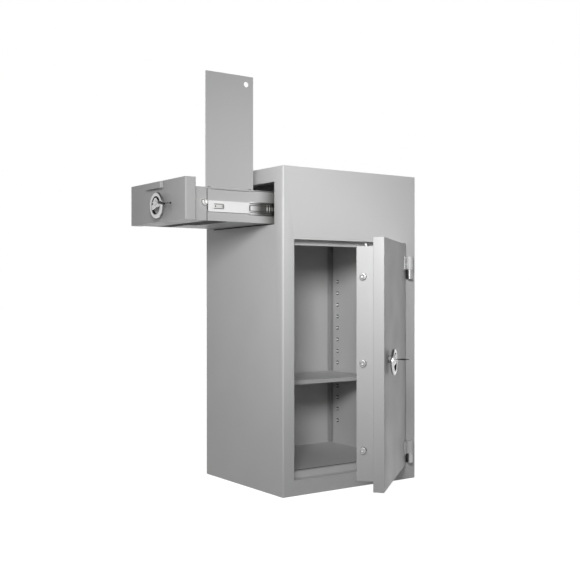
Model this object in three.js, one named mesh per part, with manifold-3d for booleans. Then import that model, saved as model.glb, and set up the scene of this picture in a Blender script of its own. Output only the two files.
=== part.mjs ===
import * as THREE from "three";
import { mergeVertices } from "three/addons/utils/BufferGeometryUtils.js";
import Module from "manifold-3d";

const wasm = await Module();
wasm.setup();

// Driving sizes in millimetres. X runs right, Y back and Z up, from the cabinet's left front foot.
const cabinet = { width: 590, depth: 504, height: 1100, sheet: 4, edgeRadius: 5, basePlate: 5 };
const fit = { gap: 0.3, running: 0.5, overrun: 20 };
const round = { fine: 32, coarse: 20, corner: 4 };

// Door opening in the front sheet, with the rebate that the door sits in and the lip behind it.
const margin = { openingSide: 46, openingTop: 243, vaultSide: 35, vaultBack: 40, slotBack: 54, slotTop: 50 };
const opening = {
  left: margin.openingSide,
  right: cabinet.width - margin.openingSide,
  bottom: 52,
  top: cabinet.height - margin.openingTop,
};
const frame = { rebate: 37.5, depth: 50, lipSide: 16, lipTop: 18, lipBottom: 22, above: 11 };

// Vault behind the door: sheet liner, slotted side walls, shelf and the plate above it.
const liner = { sheet: 2, above: 15, rise: 20, frontGap: 12 };
const vault = {
  left: margin.vaultSide,
  right: cabinet.width - margin.vaultSide,
  back: cabinet.depth - margin.vaultBack,
  bottom: opening.bottom + liner.rise,
  top: opening.top + liner.above,
};
const louvre = { count: 13, rise: 114, fall: 136.6, width: 14, height: 6, frontY: 230, fromBack: 91 };
const shelf = { row: 4, front: 185, backGap: 6, sideGap: 2.2, sheet: 2, lip: 14 };
const clip = { width: 12, ledge: 13, ledgeHeight: 6.5, tongue: 1.2, tongueHeight: 4.6, sink: 1.1 };
const deck = { plate: 6, holeLeft: 130, holeFront: 110, fromRight: 190, fromBack: 114 };
const collar = { sheet: 2, below: 3, above: 14, flange: 16, inset: 1 };

// Door leaf, its hinges and its boltwork case. The leaf stands open by swing degrees at rest.
const door = { gapSide: 3, gapBottom: 2.5, gapTop: 3.5, thick: 35, skin: 5, returnSheet: 3, backPlate: 5 };
const leafEdge = { radius: 1.8 };
const swing = { degrees: 40.1, beside: 6, ahead: 14 };
const boltCase = { inset: 30, insetBottom: 28.5, insetTop: 27.5, depth: 58, sheet: 2.5 };
const hingeBlock = { reach: 48, strap: 4.5, radius: 13, height: 46, fromTop: 96, fromBottom: 44 };
const knuckle = { radius: 10.8, height: 33.5, neck: 7, pin: 5, pinBore: 5.3, pinInset: 3 };
const sideBolt = { radius: 11, proud: 10, inner: 26, fromBack: 37.5, fromBottom: 128, fromTop: 127 };
const topBolt = { radius: 8.5, proud: 12, inner: 60, fromCase: 57 };
const bar = { thick: 8, half: 12, end: 17 };
const doorHandle = { fromEdge: 91, aboveMiddle: 11 };

// Ring handle, its spindle and the key lock in its middle, the same on the door and the drawer.
const ring = { outer: 42.5, inner: 29, bevel: 2.5, thick: 10.5, standoff: 12, hub: 17, bar: 20, drop: 8.5 };
const hub = { back: 1.2, front: 23 };
const ringTurn = { door: 102, drawer: 12 };
const spindle = { outer: 11, inner: 8.6, camRadius: 17, camThick: 6, fromBack: 6 };
const plug = { radius: 8.2, slotWide: 2.8, slotHigh: 7.6, proud: 0.8, back: 9, slotDeep: 16 };
const key = { bladeWide: 2.2, bladeHigh: 7, deep: 15, bow: 9, bowThick: 3, eye: 3, neck: 2 };
const doorKey = { length: 42, turned: 90 };
const drawerKey = { turned: -5, neck: 6, reach: 120, wide: 3, stem: 2.6, endRadius: 3.6 };
const keyJoint = { wide: 8, near: 34, far: 84 };
const lockCase = { wide: 54, high: 80, deep: 11, clear: 1.2 };

// Deposit drawer in the left face, drawn out by travel at rest.
const slotHeight = 143;
const slot = {
  front: 51,
  back: cabinet.depth - margin.slotBack,
  bottom: cabinet.height - margin.slotTop - slotHeight,
  top: cabinet.height - margin.slotTop,
};
const drawer = { travel: 335, panelThick: 38.5, frontGap: 3.5, backGap: 4, bottomGap: 3, topGap: 4 };
const panel = { sheet: 3, edgeRadius: 4 };
const box = { side: 19, rise: 3.5, drop: 31.5, lockDepth: 49.4, sheet: 2.5, topBar: 10.5 };
const tray = { length: 304, sheet: 2, floorSheet: 1.5, floorGap: 55, coverSheet: 2 };
const trayRim = { farDrop: 4.3, nearDrop: 6.8 };
const lid = { front: 82, width: 181.2, farGap: 2.15, thick: 2.5, pinDrop: 2.5, hole: 9, holeInset: 27 };
const lidHinge = { knuckle: 3.5, lug: 8, inset: 9, pin: 1.5, bore: 1.75, clear: 1.5 };
const pull = { length: 105, height: 21.5, offset: 4.25, proud: 13, fromTop: 3, lipThick: 5, round: 3 };
const drawerHandle = { rise: 66, shift: 33 };
const drawerBolt = { radius: 10, proud: 10, fromMiddle: 60.5, fromPanel: 37, rise: 62 };

// Telescopic slides beside the drawer: outer, middle and drawer members.
const slide = { sheet: 1.3, outerHigh: 45.1, middleHigh: 41.9, drawerHigh: 36, rise: 50.5 };
const slideY = { bracket: 4.6, outerWeb: 1.3, outerDeep: 11.6, middleIn: 2.3, lip: 3.6, drawerThick: 4 };
const slideX = { outerStart: 38, outerLength: 380, middleStart: 76.5, middleLength: 250, drawerLength: 300 };
const bayonet = { start: 20, length: 38, height: 16, cut: 1.6, spacer: 100, clear: 0.4 };

// Paints and metals of the pieces.
const finishes = {
  paint: { color: 0xc8c8c7, roughness: 0.5, metalness: 0.1 },
  door: { color: 0xc4c4c3, roughness: 0.5, metalness: 0.1 },
  inside: { color: 0xc0c0bf, roughness: 0.55, metalness: 0.1 },
  steel: { color: 0xc9c9c9, roughness: 0.3, metalness: 0.9 },
  zinc: { color: 0xe4e4e2, roughness: 0.35, metalness: 0.8 },
  fill: { color: 0x8b8780, roughness: 0.95, metalness: 0 },
};

// Closed solid of a three.js geometry, with its shared corners merged.
function solid(geometry) {
  const bare = geometry.clone();
  bare.deleteAttribute("normal");
  bare.deleteAttribute("uv");
  const merged = mergeVertices(bare.index ? bare : mergeVertices(bare));
  const vertProperties = new Float32Array(merged.attributes.position.array);
  const triVerts = new Uint32Array(merged.index.array);
  return new wasm.Manifold(new wasm.Mesh({ numProp: 3, vertProperties, triVerts }));
}

// Buffer geometry of a finished solid.
function geometryOf(body) {
  const mesh = body.getMesh();
  const geometry = new THREE.BufferGeometry();
  geometry.setAttribute("position", new THREE.BufferAttribute(mesh.vertProperties, 3));
  geometry.setIndex(new THREE.BufferAttribute(mesh.triVerts, 1));
  geometry.computeVertexNormals();
  return geometry;
}

function join(...bodies) {
  return bodies.reduce((whole, body) => whole.add(body));
}

function cut(body, ...tools) {
  return tools.reduce((left, tool) => left.subtract(tool), body);
}

// Block between two corners, given as low and high values on each axis.
function block([x0, x1], [y0, y1], [z0, z1]) {
  const geometry = new THREE.BoxGeometry(x1 - x0, y1 - y0, z1 - z0);
  geometry.translate((x0 + x1) / 2, (y0 + y1) / 2, (z0 + z1) / 2);
  return solid(geometry);
}

// Round rod between two points.
function rod(radius, from, to, segments = round.fine) {
  const start = new THREE.Vector3(...from);
  const end = new THREE.Vector3(...to);
  const along = end.clone().sub(start);
  const geometry = new THREE.CylinderGeometry(radius, radius, along.length(), segments);
  const up = new THREE.Vector3(0, 1, 0);
  geometry.applyQuaternion(new THREE.Quaternion().setFromUnitVectors(up, along.clone().normalize()));
  const middle = start.add(end).divideScalar(2);
  geometry.translate(middle.x, middle.y, middle.z);
  return solid(geometry);
}

// Upright prism over a rectangle with rounded corners.
function roundedBlock([x0, x1], [y0, y1], [z0, z1], radius) {
  const shape = new THREE.Shape();
  shape.absarc(x1 - radius, y0 + radius, radius, -Math.PI / 2, 0);
  shape.absarc(x1 - radius, y1 - radius, radius, 0, Math.PI / 2);
  shape.absarc(x0 + radius, y1 - radius, radius, Math.PI / 2, Math.PI);
  shape.absarc(x0 + radius, y0 + radius, radius, Math.PI, Math.PI * 1.5);
  const options = { depth: z1 - z0, bevelEnabled: false, curveSegments: round.corner };
  const geometry = new THREE.ExtrudeGeometry(shape, options);
  geometry.translate(0, 0, z0);
  return solid(geometry);
}

// Solid of revolution about Z, from a closed outline of [radius, height] points.
function turned(points, segments = round.fine) {
  const outline = [...points, points[0]].map(([radius, height]) => new THREE.Vector2(radius, height));
  const geometry = new THREE.LatheGeometry(outline, segments);
  geometry.rotateX(Math.PI / 2);
  return solid(geometry);
}

function mesh(name, body, finish) {
  const material = new THREE.MeshStandardMaterial(finishes[finish]);
  const piece = new THREE.Mesh(geometryOf(body), material);
  piece.name = name;
  return piece;
}

// Values that several pieces share, worked out from the driving sizes.
const inner = {
  x: [cabinet.sheet + fit.gap, cabinet.width - cabinet.sheet - fit.gap],
  y: [cabinet.sheet + fit.gap, cabinet.depth - cabinet.sheet - fit.gap],
  floor: cabinet.basePlate + fit.gap,
  top: cabinet.height - cabinet.sheet - fit.gap,
};
const behindFrame = frame.depth + fit.gap;
const frameTop = opening.top + frame.above;
const dropMouth = {
  x: [deck.holeLeft, cabinet.width - deck.fromRight],
  y: [deck.holeFront, cabinet.depth - deck.fromBack],
};
const louvreFirst = opening.bottom + louvre.rise;
const louvrePitch = (opening.top - louvre.fall - louvreFirst) / (louvre.count - 1);
const louvreY = [louvre.frontY, cabinet.depth - louvre.fromBack];
const deckBottom = vault.top + fit.gap;
const deckTop = deckBottom + deck.plate;
const leaf = {
  x: [opening.left + door.gapSide, opening.right - door.gapSide],
  z: [opening.bottom + door.gapBottom, opening.top - door.gapTop],
};
const middleZ = (opening.bottom + opening.top) / 2;
const doorHandleZ = middleZ + doorHandle.aboveMiddle;
const hinge = { x: opening.right + swing.beside, y: -swing.ahead };
const hingeZ = { upper: opening.top - hingeBlock.fromTop, lower: opening.bottom + hingeBlock.fromBottom };
const endBoltZ = [opening.bottom + sideBolt.fromBottom, opening.top - sideBolt.fromTop];
const sideBoltZ = [endBoltZ[0], (endBoltZ[0] + endBoltZ[1]) / 2, endBoltZ[1]];
const caseX = [leaf.x[0] + boltCase.inset, leaf.x[1] - boltCase.inset];
const caseY = [door.thick + fit.gap, door.thick + boltCase.depth];
const caseZ = [leaf.z[0] + boltCase.insetBottom, leaf.z[1] - boltCase.insetTop];
const boltY = door.thick + sideBolt.fromBack;
const panelY = [slot.front + drawer.frontGap, slot.back - drawer.backGap];
const panelZ = [slot.bottom + drawer.bottomGap, slot.top - drawer.topGap];
const boxY = [slot.front + box.side, slot.back - box.side];
const boxZ = [slot.bottom + box.rise, slot.top - box.drop];
const boxFront = drawer.panelThick + fit.gap;
const boxBack = boxFront + box.lockDepth;
const trayX = [boxBack + fit.gap, boxBack + fit.gap + tray.length];
const lidX = [lid.front, lid.front + lid.width];
const lidPinY = boxY[0] + lid.thick / 2;
const lidPinZ = boxZ[1] - lid.pinDrop;
const lidReach = slot.back - lid.farGap - lidPinY;
const drawerCentreY = (boxY[0] + boxY[1]) / 2;
const handleY = (panelY[0] + panelY[1]) / 2 - drawerHandle.shift;
const handleZ = slot.bottom + drawerHandle.rise;
const drawerBoltZ = slot.bottom + drawerBolt.rise;
const drawerBoltInner = (boxY[1] - boxY[0]) / 2 - drawerBolt.fromMiddle;
const slideCentreZ = slot.bottom + slide.rise;

// Outer casing: one folded sheet box, open below, with the door opening and the drawer slot.
function outerCasing() {
  const { width, depth, height, sheet, edgeRadius } = cabinet;
  const shell = roundedBlock([0, width], [0, depth], [0, height], edgeRadius);
  const hollow = block([sheet, width - sheet], [sheet, depth - sheet], [-fit.overrun, height - sheet]);
  const doorway = block([opening.left, opening.right], [-fit.overrun, sheet + fit.overrun],
    [opening.bottom, opening.top]);
  const slotCut = block([-fit.overrun, sheet + fit.overrun], [slot.front, slot.back],
    [slot.bottom, slot.top]);
  return cut(shell, hollow, doorway, slotCut);
}

function basePlate() {
  return block(inner.x, inner.y, [0, cabinet.basePlate]);
}

// Door frame: a deep ring with the rebate for the leaf and the lip that the bolts lock behind.
function doorFrame() {
  const body = block(inner.x, [inner.y[0], frame.depth], [inner.floor, frameTop]);
  const rebate = block([opening.left, opening.right], [0, frame.rebate], [opening.bottom, opening.top]);
  const throat = block([opening.left + frame.lipSide, opening.right - frame.lipSide],
    [0, frame.depth + fit.overrun], [opening.bottom + frame.lipBottom, opening.top - frame.lipTop]);
  return cut(body, rebate, throat);
}

function louvreHeights() {
  return Array.from({ length: louvre.count }, (_, i) => louvreFirst + i * louvrePitch);
}

// Vault liner: a five-sided sheet box with four columns of shelf slots and the drop hole above.
function vaultLiner() {
  const { left, right, back, bottom, top } = vault;
  const { sheet } = liner;
  const shell = block([left, right], [behindFrame, back], [bottom, top]);
  const hollow = block([left + sheet, right - sheet], [0, back - sheet], [bottom + sheet, top - sheet]);
  const slots = [];
  for (const y of louvreY) {
    for (const z of louvreHeights()) {
      slots.push(block([left - fit.overrun, right + fit.overrun],
        [y - louvre.width / 2, y + louvre.width / 2], [z - louvre.height / 2, z + louvre.height / 2]));
    }
  }
  const floorGap = block([left + sheet, right - sheet], [0, behindFrame + liner.frontGap],
    [bottom - fit.overrun, bottom + sheet]);
  return cut(shell, hollow, floorGap, dropHole(top), ...slots);
}

function dropHole(z) {
  return block(dropMouth.x, dropMouth.y, [z - fit.overrun, z + fit.overrun]);
}

// Barrier slabs between the casing and the vault liner.
function insulation() {
  const z = [inner.floor, deckBottom - fit.gap];
  const slabY = [behindFrame, inner.y[1]];
  const gap = fit.gap;
  return {
    left: block([inner.x[0], vault.left - gap], slabY, z),
    right: block([vault.right + gap, inner.x[1]], slabY, z),
    back: block([vault.left, vault.right], [vault.back + gap, inner.y[1]], z),
    floor: block([vault.left, vault.right], [behindFrame, vault.back], [z[0], vault.bottom - gap]),
    header: block(inner.x, [inner.y[0], frame.depth], [frameTop + gap, inner.top]),
  };
}

function drawerDeck() {
  const plate = block(inner.x, [behindFrame, inner.y[1]], [deckBottom, deckTop]);
  return cut(plate, dropHole(deckTop));
}

// Collar that lines the drop hole, with a flange that lies on the deck.
function dropCollar() {
  const { sheet, below, above, flange, inset } = collar;
  const x = [dropMouth.x[0] + inset, dropMouth.x[1] - inset];
  const y = [dropMouth.y[0] + inset, dropMouth.y[1] - inset];
  const z = [vault.top - liner.sheet - below, deckTop + above];
  const wall = block(x, y, z);
  const rim = block([x[0] - flange, x[1] + flange], [y[0] - flange, y[1] + flange],
    [deckTop + fit.gap, deckTop + fit.gap + sheet]);
  const bore = block([x[0] + sheet, x[1] - sheet], [y[0] + sheet, y[1] - sheet],
    [z[0] - fit.overrun, z[1] + fit.overrun]);
  return cut(join(wall, rim), bore);
}

// Thick frame behind the drawer slot.
function slotFrame() {
  const body = block([inner.x[0], vault.left - fit.gap], [behindFrame, inner.y[1]],
    [deckTop + fit.gap, inner.top]);
  const mouth = block([0, vault.left + fit.overrun], [slot.front, slot.back], [slot.bottom, slot.top]);
  return cut(body, mouth);
}

// Shelf: a plate with folded lips, resting on four clips hooked into the liner's slots.
const shelfX = [vault.left + liner.sheet + shelf.sideGap, vault.right - liner.sheet - shelf.sideGap];
const shelfY = [shelf.front, vault.back - liner.sheet - shelf.backGap];
const clipRow = louvreFirst + shelf.row * louvrePitch;
const shelfBottom = clipRow - louvre.height / 2 + fit.gap;

function shelfPlate() {
  const z = [shelfBottom, shelfBottom + shelf.lip];
  const body = block(shelfX, shelfY, z);
  const hollow = block([shelfX[0] + shelf.sheet, shelfX[1] - shelf.sheet],
    [shelfY[0] + shelf.sheet, shelfY[1] - shelf.sheet], [z[0] - fit.overrun, z[1] - shelf.sheet]);
  return cut(body, hollow);
}

function shelfClip(side, y) {
  const wall = side > 0 ? vault.right - liner.sheet : vault.left + liner.sheet;
  const inward = -side;
  const span = (a, b) => [wall + inward * a, wall + inward * b].sort((p, q) => p - q);
  const across = [y - clip.width / 2, y + clip.width / 2];
  const top = shelfBottom - fit.gap;
  const ledge = block(span(fit.gap, clip.ledge), across, [top - clip.ledgeHeight, top]);
  const riser = block(span(fit.gap, fit.gap + clip.tongue), across,
    [top - clip.ledgeHeight, top + clip.tongueHeight]);
  const tongue = block(span(-clip.sink, fit.gap + clip.tongue), across,
    [clipRow - clip.tongueHeight / 2, top + clip.tongueHeight]);
  return join(ledge, riser, tongue);
}

// Frame half of a hinge: a knuckle on a neck welded to the front sheet.
function frameKnuckle(z) {
  const { x, y } = hinge;
  const barrel = rod(knuckle.radius, [x, y, z], [x, y, z + knuckle.height]);
  const neck = block([x - knuckle.neck, x + knuckle.neck], [y, -fit.gap], [z, z + knuckle.height]);
  const bore = rod(knuckle.pinBore, [x, y, z - fit.overrun], [x, y, z + knuckle.height + fit.overrun]);
  return cut(join(barrel, neck), bore);
}

function hingePin(z) {
  const { x, y } = hinge;
  const top = z + knuckle.height + fit.gap + hingeBlock.height - knuckle.pinInset;
  return rod(knuckle.pin, [x, y, z + knuckle.pinInset], [x, y, top]);
}

// Door half of a hinge: a strap on the leaf's face with a barrel about the pin.
function doorHingeBlock(z) {
  const { x, y } = hinge;
  const { reach, strap, radius, height } = hingeBlock;
  const arm = block([x - reach, x], [-fit.gap - strap, -fit.gap], [z, z + height]);
  const barrel = rod(radius, [x, y, z], [x, y, z + height]);
  const bore = rod(knuckle.pinBore, [x, y, z - fit.overrun], [x, y, z + height + fit.overrun]);
  return cut(join(arm, barrel), bore);
}

// Bore for a handle spindle through the leaf, along Y.
const doorHandleX = leaf.x[0] + doorHandle.fromEdge;
function leafBore(radius) {
  return rod(radius, [doorHandleX, -fit.overrun, doorHandleZ],
    [doorHandleX, door.thick + fit.overrun, doorHandleZ]);
}

// Door skin: a deep sheet tray, face forwards.
function doorSkin() {
  const { thick, skin, returnSheet } = door;
  const body = roundedBlock(leaf.x, [0, thick], leaf.z, leafEdge.radius);
  const hollow = block([leaf.x[0] + returnSheet, leaf.x[1] - returnSheet], [skin, thick + fit.overrun],
    [leaf.z[0] + returnSheet, leaf.z[1] - returnSheet]);
  return cut(body, hollow, leafBore(spindle.outer + fit.running));
}

const leafInner = {
  x: [leaf.x[0] + door.returnSheet + fit.gap, leaf.x[1] - door.returnSheet - fit.gap],
  z: [leaf.z[0] + door.returnSheet + fit.gap, leaf.z[1] - door.returnSheet - fit.gap],
};

function doorFill() {
  const y = [door.skin + fit.gap, door.thick - door.backPlate - fit.gap];
  return cut(block(leafInner.x, y, leafInner.z), leafBore(spindle.outer + fit.running));
}

function doorBackPlate() {
  const y = [door.thick - door.backPlate, door.thick];
  return cut(block(leafInner.x, y, leafInner.z), leafBore(spindle.outer + fit.running));
}

const topBoltX = caseX[0] + topBolt.fromCase;

// Boltwork case: a sheet box on the leaf's back, open towards it, with a hole for each bolt.
function boltworkCase() {
  const body = block(caseX, caseY, caseZ);
  const { sheet } = boltCase;
  const hollow = block([caseX[0] + sheet, caseX[1] - sheet], [0, caseY[1] - sheet],
    [caseZ[0] + sheet, caseZ[1] - sheet]);
  const holes = sideBoltZ.map((z) => rod(sideBolt.radius + fit.running,
    [caseX[0] - fit.overrun, boltY, z], [caseX[0] + fit.overrun, boltY, z]));
  const topHole = rod(topBolt.radius + fit.running, [topBoltX, boltY, caseZ[1] - fit.overrun],
    [topBoltX, boltY, caseZ[1] + fit.overrun]);
  return cut(body, hollow, topHole, ...holes);
}

const barX = [caseX[0] + sideBolt.inner, caseX[0] + sideBolt.inner + bar.thick];

function doorSideBolt(z) {
  return rod(sideBolt.radius, [caseX[0] - sideBolt.proud, boltY, z], [barX[0] - fit.gap, boltY, z]);
}

// Bar that carries the three side bolts.
function boltBar() {
  return block(barX, [boltY - bar.half, boltY + bar.half], [endBoltZ[0] - bar.end, endBoltZ[1] + bar.end]);
}

function doorTopBolt() {
  return rod(topBolt.radius, [topBoltX, boltY, caseZ[1] - topBolt.inner],
    [topBoltX, boltY, caseZ[1] + topBolt.proud]);
}

// Ring handle about Z, its face side at zero: a hub on the axis, a ring that hangs below it, and a bar
// across the ring, turned by an angle.
function ringHandle(down, angle) {
  const { outer, inner: bore, bevel, thick, standoff, hub: hubRadius, bar: barWide, drop } = ring;
  const back = standoff;
  const front = standoff + thick;
  const band = turned([[bore, back + bevel], [bore + bevel, back], [outer - bevel, back],
    [outer, back + bevel], [outer, front - bevel], [outer - bevel, front], [bore + bevel, front],
    [bore, front - bevel]]);
  const boss = turned([[0, hub.back], [hubRadius - bevel, hub.back], [hubRadius, hub.back + bevel],
    [hubRadius, hub.front - bevel], [hubRadius - bevel, hub.front], [0, hub.front]]);
  const reach = (outer + bore) / 2;
  const spoke = block([-barWide / 2, barWide / 2], [-reach, reach],
    [back + bevel / 2, front - bevel / 2]);
  const hole = rod(spindle.inner, [0, 0, -fit.overrun], [0, 0, hub.front + fit.overrun]);
  const grip = join(band, spoke).rotate([0, 0, angle]).translate([drop * down[0], drop * down[1], 0]);
  return cut(join(grip, boss), hole);
}

// Tube from the handle's hub through the leaf to the cam inside the boltwork, along Z.
function handleSpindle(depth) {
  const end = -depth - spindle.camThick;
  const tube = rod(spindle.outer, [0, 0, end], [0, 0, hub.back - fit.gap]);
  const cam = rod(spindle.camRadius, [0, 0, end], [0, 0, -depth]);
  const bore = rod(spindle.inner, [0, 0, end - fit.overrun], [0, 0, fit.overrun]);
  return cut(join(tube, cam), bore);
}

// Lock plug in the middle of the handle, with its keyway.
function lockPlug(depth) {
  const front = hub.front + plug.proud;
  const body = rod(plug.radius, [0, 0, -depth - spindle.camThick - plug.back], [0, 0, front]);
  const keyway = block([-plug.slotWide / 2, plug.slotWide / 2], [-plug.slotHigh / 2, plug.slotHigh / 2],
    [front - plug.slotDeep, front + fit.overrun]);
  return cut(body, keyway);
}

function keyBlade(end) {
  const front = hub.front + plug.proud;
  return block([-key.bladeWide / 2, key.bladeWide / 2], [-key.bladeHigh / 2, key.bladeHigh / 2],
    [front - key.deep, front + end]);
}

// Straight key: blade, round neck and a flat bow with an eye.
function straightKey() {
  const front = hub.front + plug.proud;
  const end = front + doorKey.length;
  const centre = end - key.bow;
  const neck = rod(key.neck, [0, 0, front + fit.gap], [0, 0, centre], round.coarse);
  const bow = rod(key.bow, [-key.bowThick / 2, 0, centre], [key.bowThick / 2, 0, centre]);
  const eye = rod(key.eye, [-fit.overrun, 0, centre + key.eye], [fit.overrun, 0, centre + key.eye],
    round.coarse);
  return cut(join(keyBlade(doorKey.length / 2), neck, bow), eye);
}

// Long folding key: its shank lies to the side, level, with a thick joint and a round end.
function foldedKey() {
  const front = hub.front + plug.proud;
  const z = front + drawerKey.neck;
  const { reach, wide, stem, endRadius } = drawerKey;
  const neck = rod(key.neck, [0, 0, front + fit.gap], [0, 0, z + stem], round.coarse);
  const shank = block([-wide / 2, wide / 2], [-reach, 0], [z, z + stem]);
  const joint = block([-keyJoint.wide / 2, keyJoint.wide / 2], [-keyJoint.far, -keyJoint.near],
    [z - stem / 2, z + stem + stem / 2]);
  const knob = rod(endRadius, [0, -reach, z - stem / 2], [0, -reach, z + stem + stem / 2], round.coarse);
  return join(keyBlade(drawerKey.neck), neck, shank, joint, knob);
}

// Lock case about the back of the plug.
function lockBody(depth) {
  const front = -depth - spindle.camThick - lockCase.clear;
  const body = block([-lockCase.wide / 2, lockCase.wide / 2], [-lockCase.high / 2, lockCase.high / 2],
    [front - lockCase.deep, front]);
  const bore = rod(plug.radius + fit.running, [0, 0, front - plug.back], [0, 0, front + fit.overrun]);
  return cut(body, bore);
}

// Drawer front: a sheet tray with rounded upright edges, filled like the door.
function panelBore(radius) {
  return rod(radius, [-fit.overrun, handleY, handleZ],
    [drawer.panelThick + fit.overrun, handleY, handleZ]);
}

function drawerFront() {
  const body = roundedBlock([0, drawer.panelThick], panelY, panelZ, panel.edgeRadius);
  const { sheet } = panel;
  const hollow = block([sheet, drawer.panelThick - sheet], [panelY[0] + sheet, panelY[1] - sheet],
    [panelZ[0] + sheet, panelZ[1] - sheet]);
  return cut(body, hollow, panelBore(spindle.outer + fit.running));
}

function drawerFrontFill() {
  const pad = panel.sheet + fit.gap;
  const body = block([pad, drawer.panelThick - pad], [panelY[0] + pad, panelY[1] - pad],
    [panelZ[0] + pad, panelZ[1] - pad]);
  return cut(body, panelBore(spindle.outer + fit.running));
}

const drawerBoltX = drawer.panelThick + drawerBolt.fromPanel;

// Box behind the drawer front that holds the lock and its two bolts.
function drawerLockBox() {
  const { sheet, topBar } = box;
  const [bottom, top] = boxZ;
  const body = block([boxFront, boxBack], boxY, [bottom, top]);
  const hollow = block([0, boxBack - sheet], [boxY[0] + sheet, boxY[1] - sheet],
    [bottom + sheet, top - topBar]);
  const holes = rod(drawerBolt.radius + fit.running, [drawerBoltX, boxY[0] - fit.overrun, drawerBoltZ],
    [drawerBoltX, boxY[1] + fit.overrun, drawerBoltZ]);
  const rebate = block([lid.front - fit.running, boxBack + fit.overrun], [0, cabinet.depth],
    [top - trayRim.nearDrop, top + fit.overrun]);
  return cut(body, hollow, holes, rebate);
}

const lugX = [lidX[0] + lidHinge.inset, lidX[1] - lidHinge.inset - lidHinge.lug];

// Tray: side walls, back wall and floor, with a gap in the floor behind the lock box.
function drawerTray() {
  const { sheet, floorSheet, floorGap } = tray;
  const { farDrop, nearDrop } = trayRim;
  const [bottom, top] = boxZ;
  const body = block(trayX, boxY, [bottom, top]);
  const hollow = block([0, trayX[1] - sheet], [boxY[0] + sheet, boxY[1] - sheet],
    [bottom + floorSheet, top + fit.overrun]);
  const dropGap = block([0, trayX[0] + floorGap], [boxY[0] + sheet, boxY[1] - sheet],
    [bottom - fit.overrun, bottom + fit.overrun]);
  const lidEnd = lidX[1] + fit.running;
  const farCut = block([0, lidEnd], [boxY[0] + sheet, cabinet.depth], [top - farDrop, top + fit.overrun]);
  const nearCut = block([0, lidEnd], [0, boxY[0] + sheet + fit.gap], [top - nearDrop, top + fit.overrun]);
  const divider = block([lidEnd, lidEnd + sheet], [boxY[0] + sheet / 2, boxY[1] - sheet / 2],
    [bottom + floorSheet / 2, top - tray.coverSheet - fit.gap]);
  const lugs = lugX.map((x) => join(
    rod(lidHinge.knuckle, [x, lidPinY, lidPinZ], [x + lidHinge.lug, lidPinY, lidPinZ], round.coarse),
    block([x, x + lidHinge.lug], [boxY[0], boxY[0] + sheet], [top - nearDrop - sheet, lidPinZ]),
  ));
  const bore = rod(lidHinge.bore, [0, lidPinY, lidPinZ], [trayX[1], lidPinY, lidPinZ], round.coarse);
  const walls = join(cut(body, hollow, dropGap, farCut, nearCut), divider);
  return cut(join(walls, ...lugs), bore);
}

function trayCover() {
  const { coverSheet, sheet } = tray;
  const x = [lidX[1] + fit.running + fit.gap, trayX[1] - sheet - fit.gap];
  return block(x, [boxY[0] + sheet + fit.gap, boxY[1] - sheet - fit.gap], [boxZ[1] - coverSheet, boxZ[1]]);
}

function lidPin() {
  return rod(lidHinge.pin, [lidX[0] + fit.gap, lidPinY, lidPinZ], [lidX[1] - fit.gap, lidPinY, lidPinZ],
    round.coarse);
}

// Lid: a plate that stands on its rolled hinge edge, notched for the tray's lugs, with a finger hole.
function lidPlate() {
  const { thick, hole: holeRadius, holeInset } = lid;
  const top = lidPinZ + lidReach;
  const plate = block(lidX, [lidPinY - thick / 2, lidPinY + thick / 2], [lidPinZ, top]);
  const roll = rod(lidHinge.knuckle, [lidX[0], lidPinY, lidPinZ], [lidX[1], lidPinY, lidPinZ], round.coarse);
  const holeX = lidX[1] - holeInset;
  const fingerHole = rod(holeRadius, [holeX, 0, top - holeInset], [holeX, cabinet.depth, top - holeInset]);
  const notches = lugX.map((x) => block([x - lidHinge.clear, x + lidHinge.lug + lidHinge.clear],
    [0, cabinet.depth], [lidPinZ - fit.overrun, lidPinZ + lidHinge.knuckle + lidHinge.clear]));
  const bore = rod(lidHinge.bore, [0, lidPinY, lidPinZ], [trayX[1], lidPinY, lidPinZ], round.coarse);
  return cut(join(plate, roll), fingerHole, bore, ...notches);
}

// Finger ledge on the drawer front: a bar with a hollow behind its lower edge.
function drawerPull() {
  const { length, height, offset, proud, fromTop, lipThick, round: radius } = pull;
  const middle = (panelY[0] + panelY[1]) / 2 + offset;
  const y = [middle - length / 2, middle + length / 2];
  const z = [panelZ[1] - fromTop - height, panelZ[1] - fromTop];
  const body = roundedBlock([-proud, -fit.gap], y, z, radius);
  const hollow = block([-proud + lipThick, -lipThick / 2], [y[0] + lipThick, y[1] - lipThick],
    [z[0] - fit.overrun, z[1] - lipThick]);
  return cut(body, hollow);
}

function drawerLockBolt(side) {
  const face = side < 0 ? boxY[0] : boxY[1];
  return rod(drawerBolt.radius, [drawerBoltX, face + side * drawerBolt.proud, drawerBoltZ],
    [drawerBoltX, face - side * drawerBoltInner, drawerBoltZ]);
}

// Slide pieces are drawn for the near side and mirrored for the far side about the drawer's middle.
function slideSpan(side, a, b) {
  const near = (value) => slot.front + value;
  const place = (value) => (side < 0 ? near(value) : 2 * drawerCentreY - near(value));
  return [place(a), place(b)].sort((p, q) => p - q);
}

const webStart = slideY.bracket + fit.gap;
const outerEnd = webStart + slideY.outerDeep;
const middleWeb = [box.side - fit.gap - slide.sheet, box.side - fit.gap];
const middleFront = webStart + slideY.outerWeb + slideY.middleIn;

function zSpan(high) {
  return [slideCentreZ - high / 2, slideCentreZ + high / 2];
}

function slideBracket(side) {
  const y = slideSpan(side, 0, slideY.bracket);
  const x = [slideX.outerStart, slideX.outerStart + slideX.outerLength];
  const low = deckTop + fit.gap;
  const foot = block(x, slideSpan(side, 0, outerEnd), [low, low + slideY.bracket]);
  return join(block(x, y, [low, slideCentreZ + slide.outerHigh / 2]), foot);
}

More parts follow.
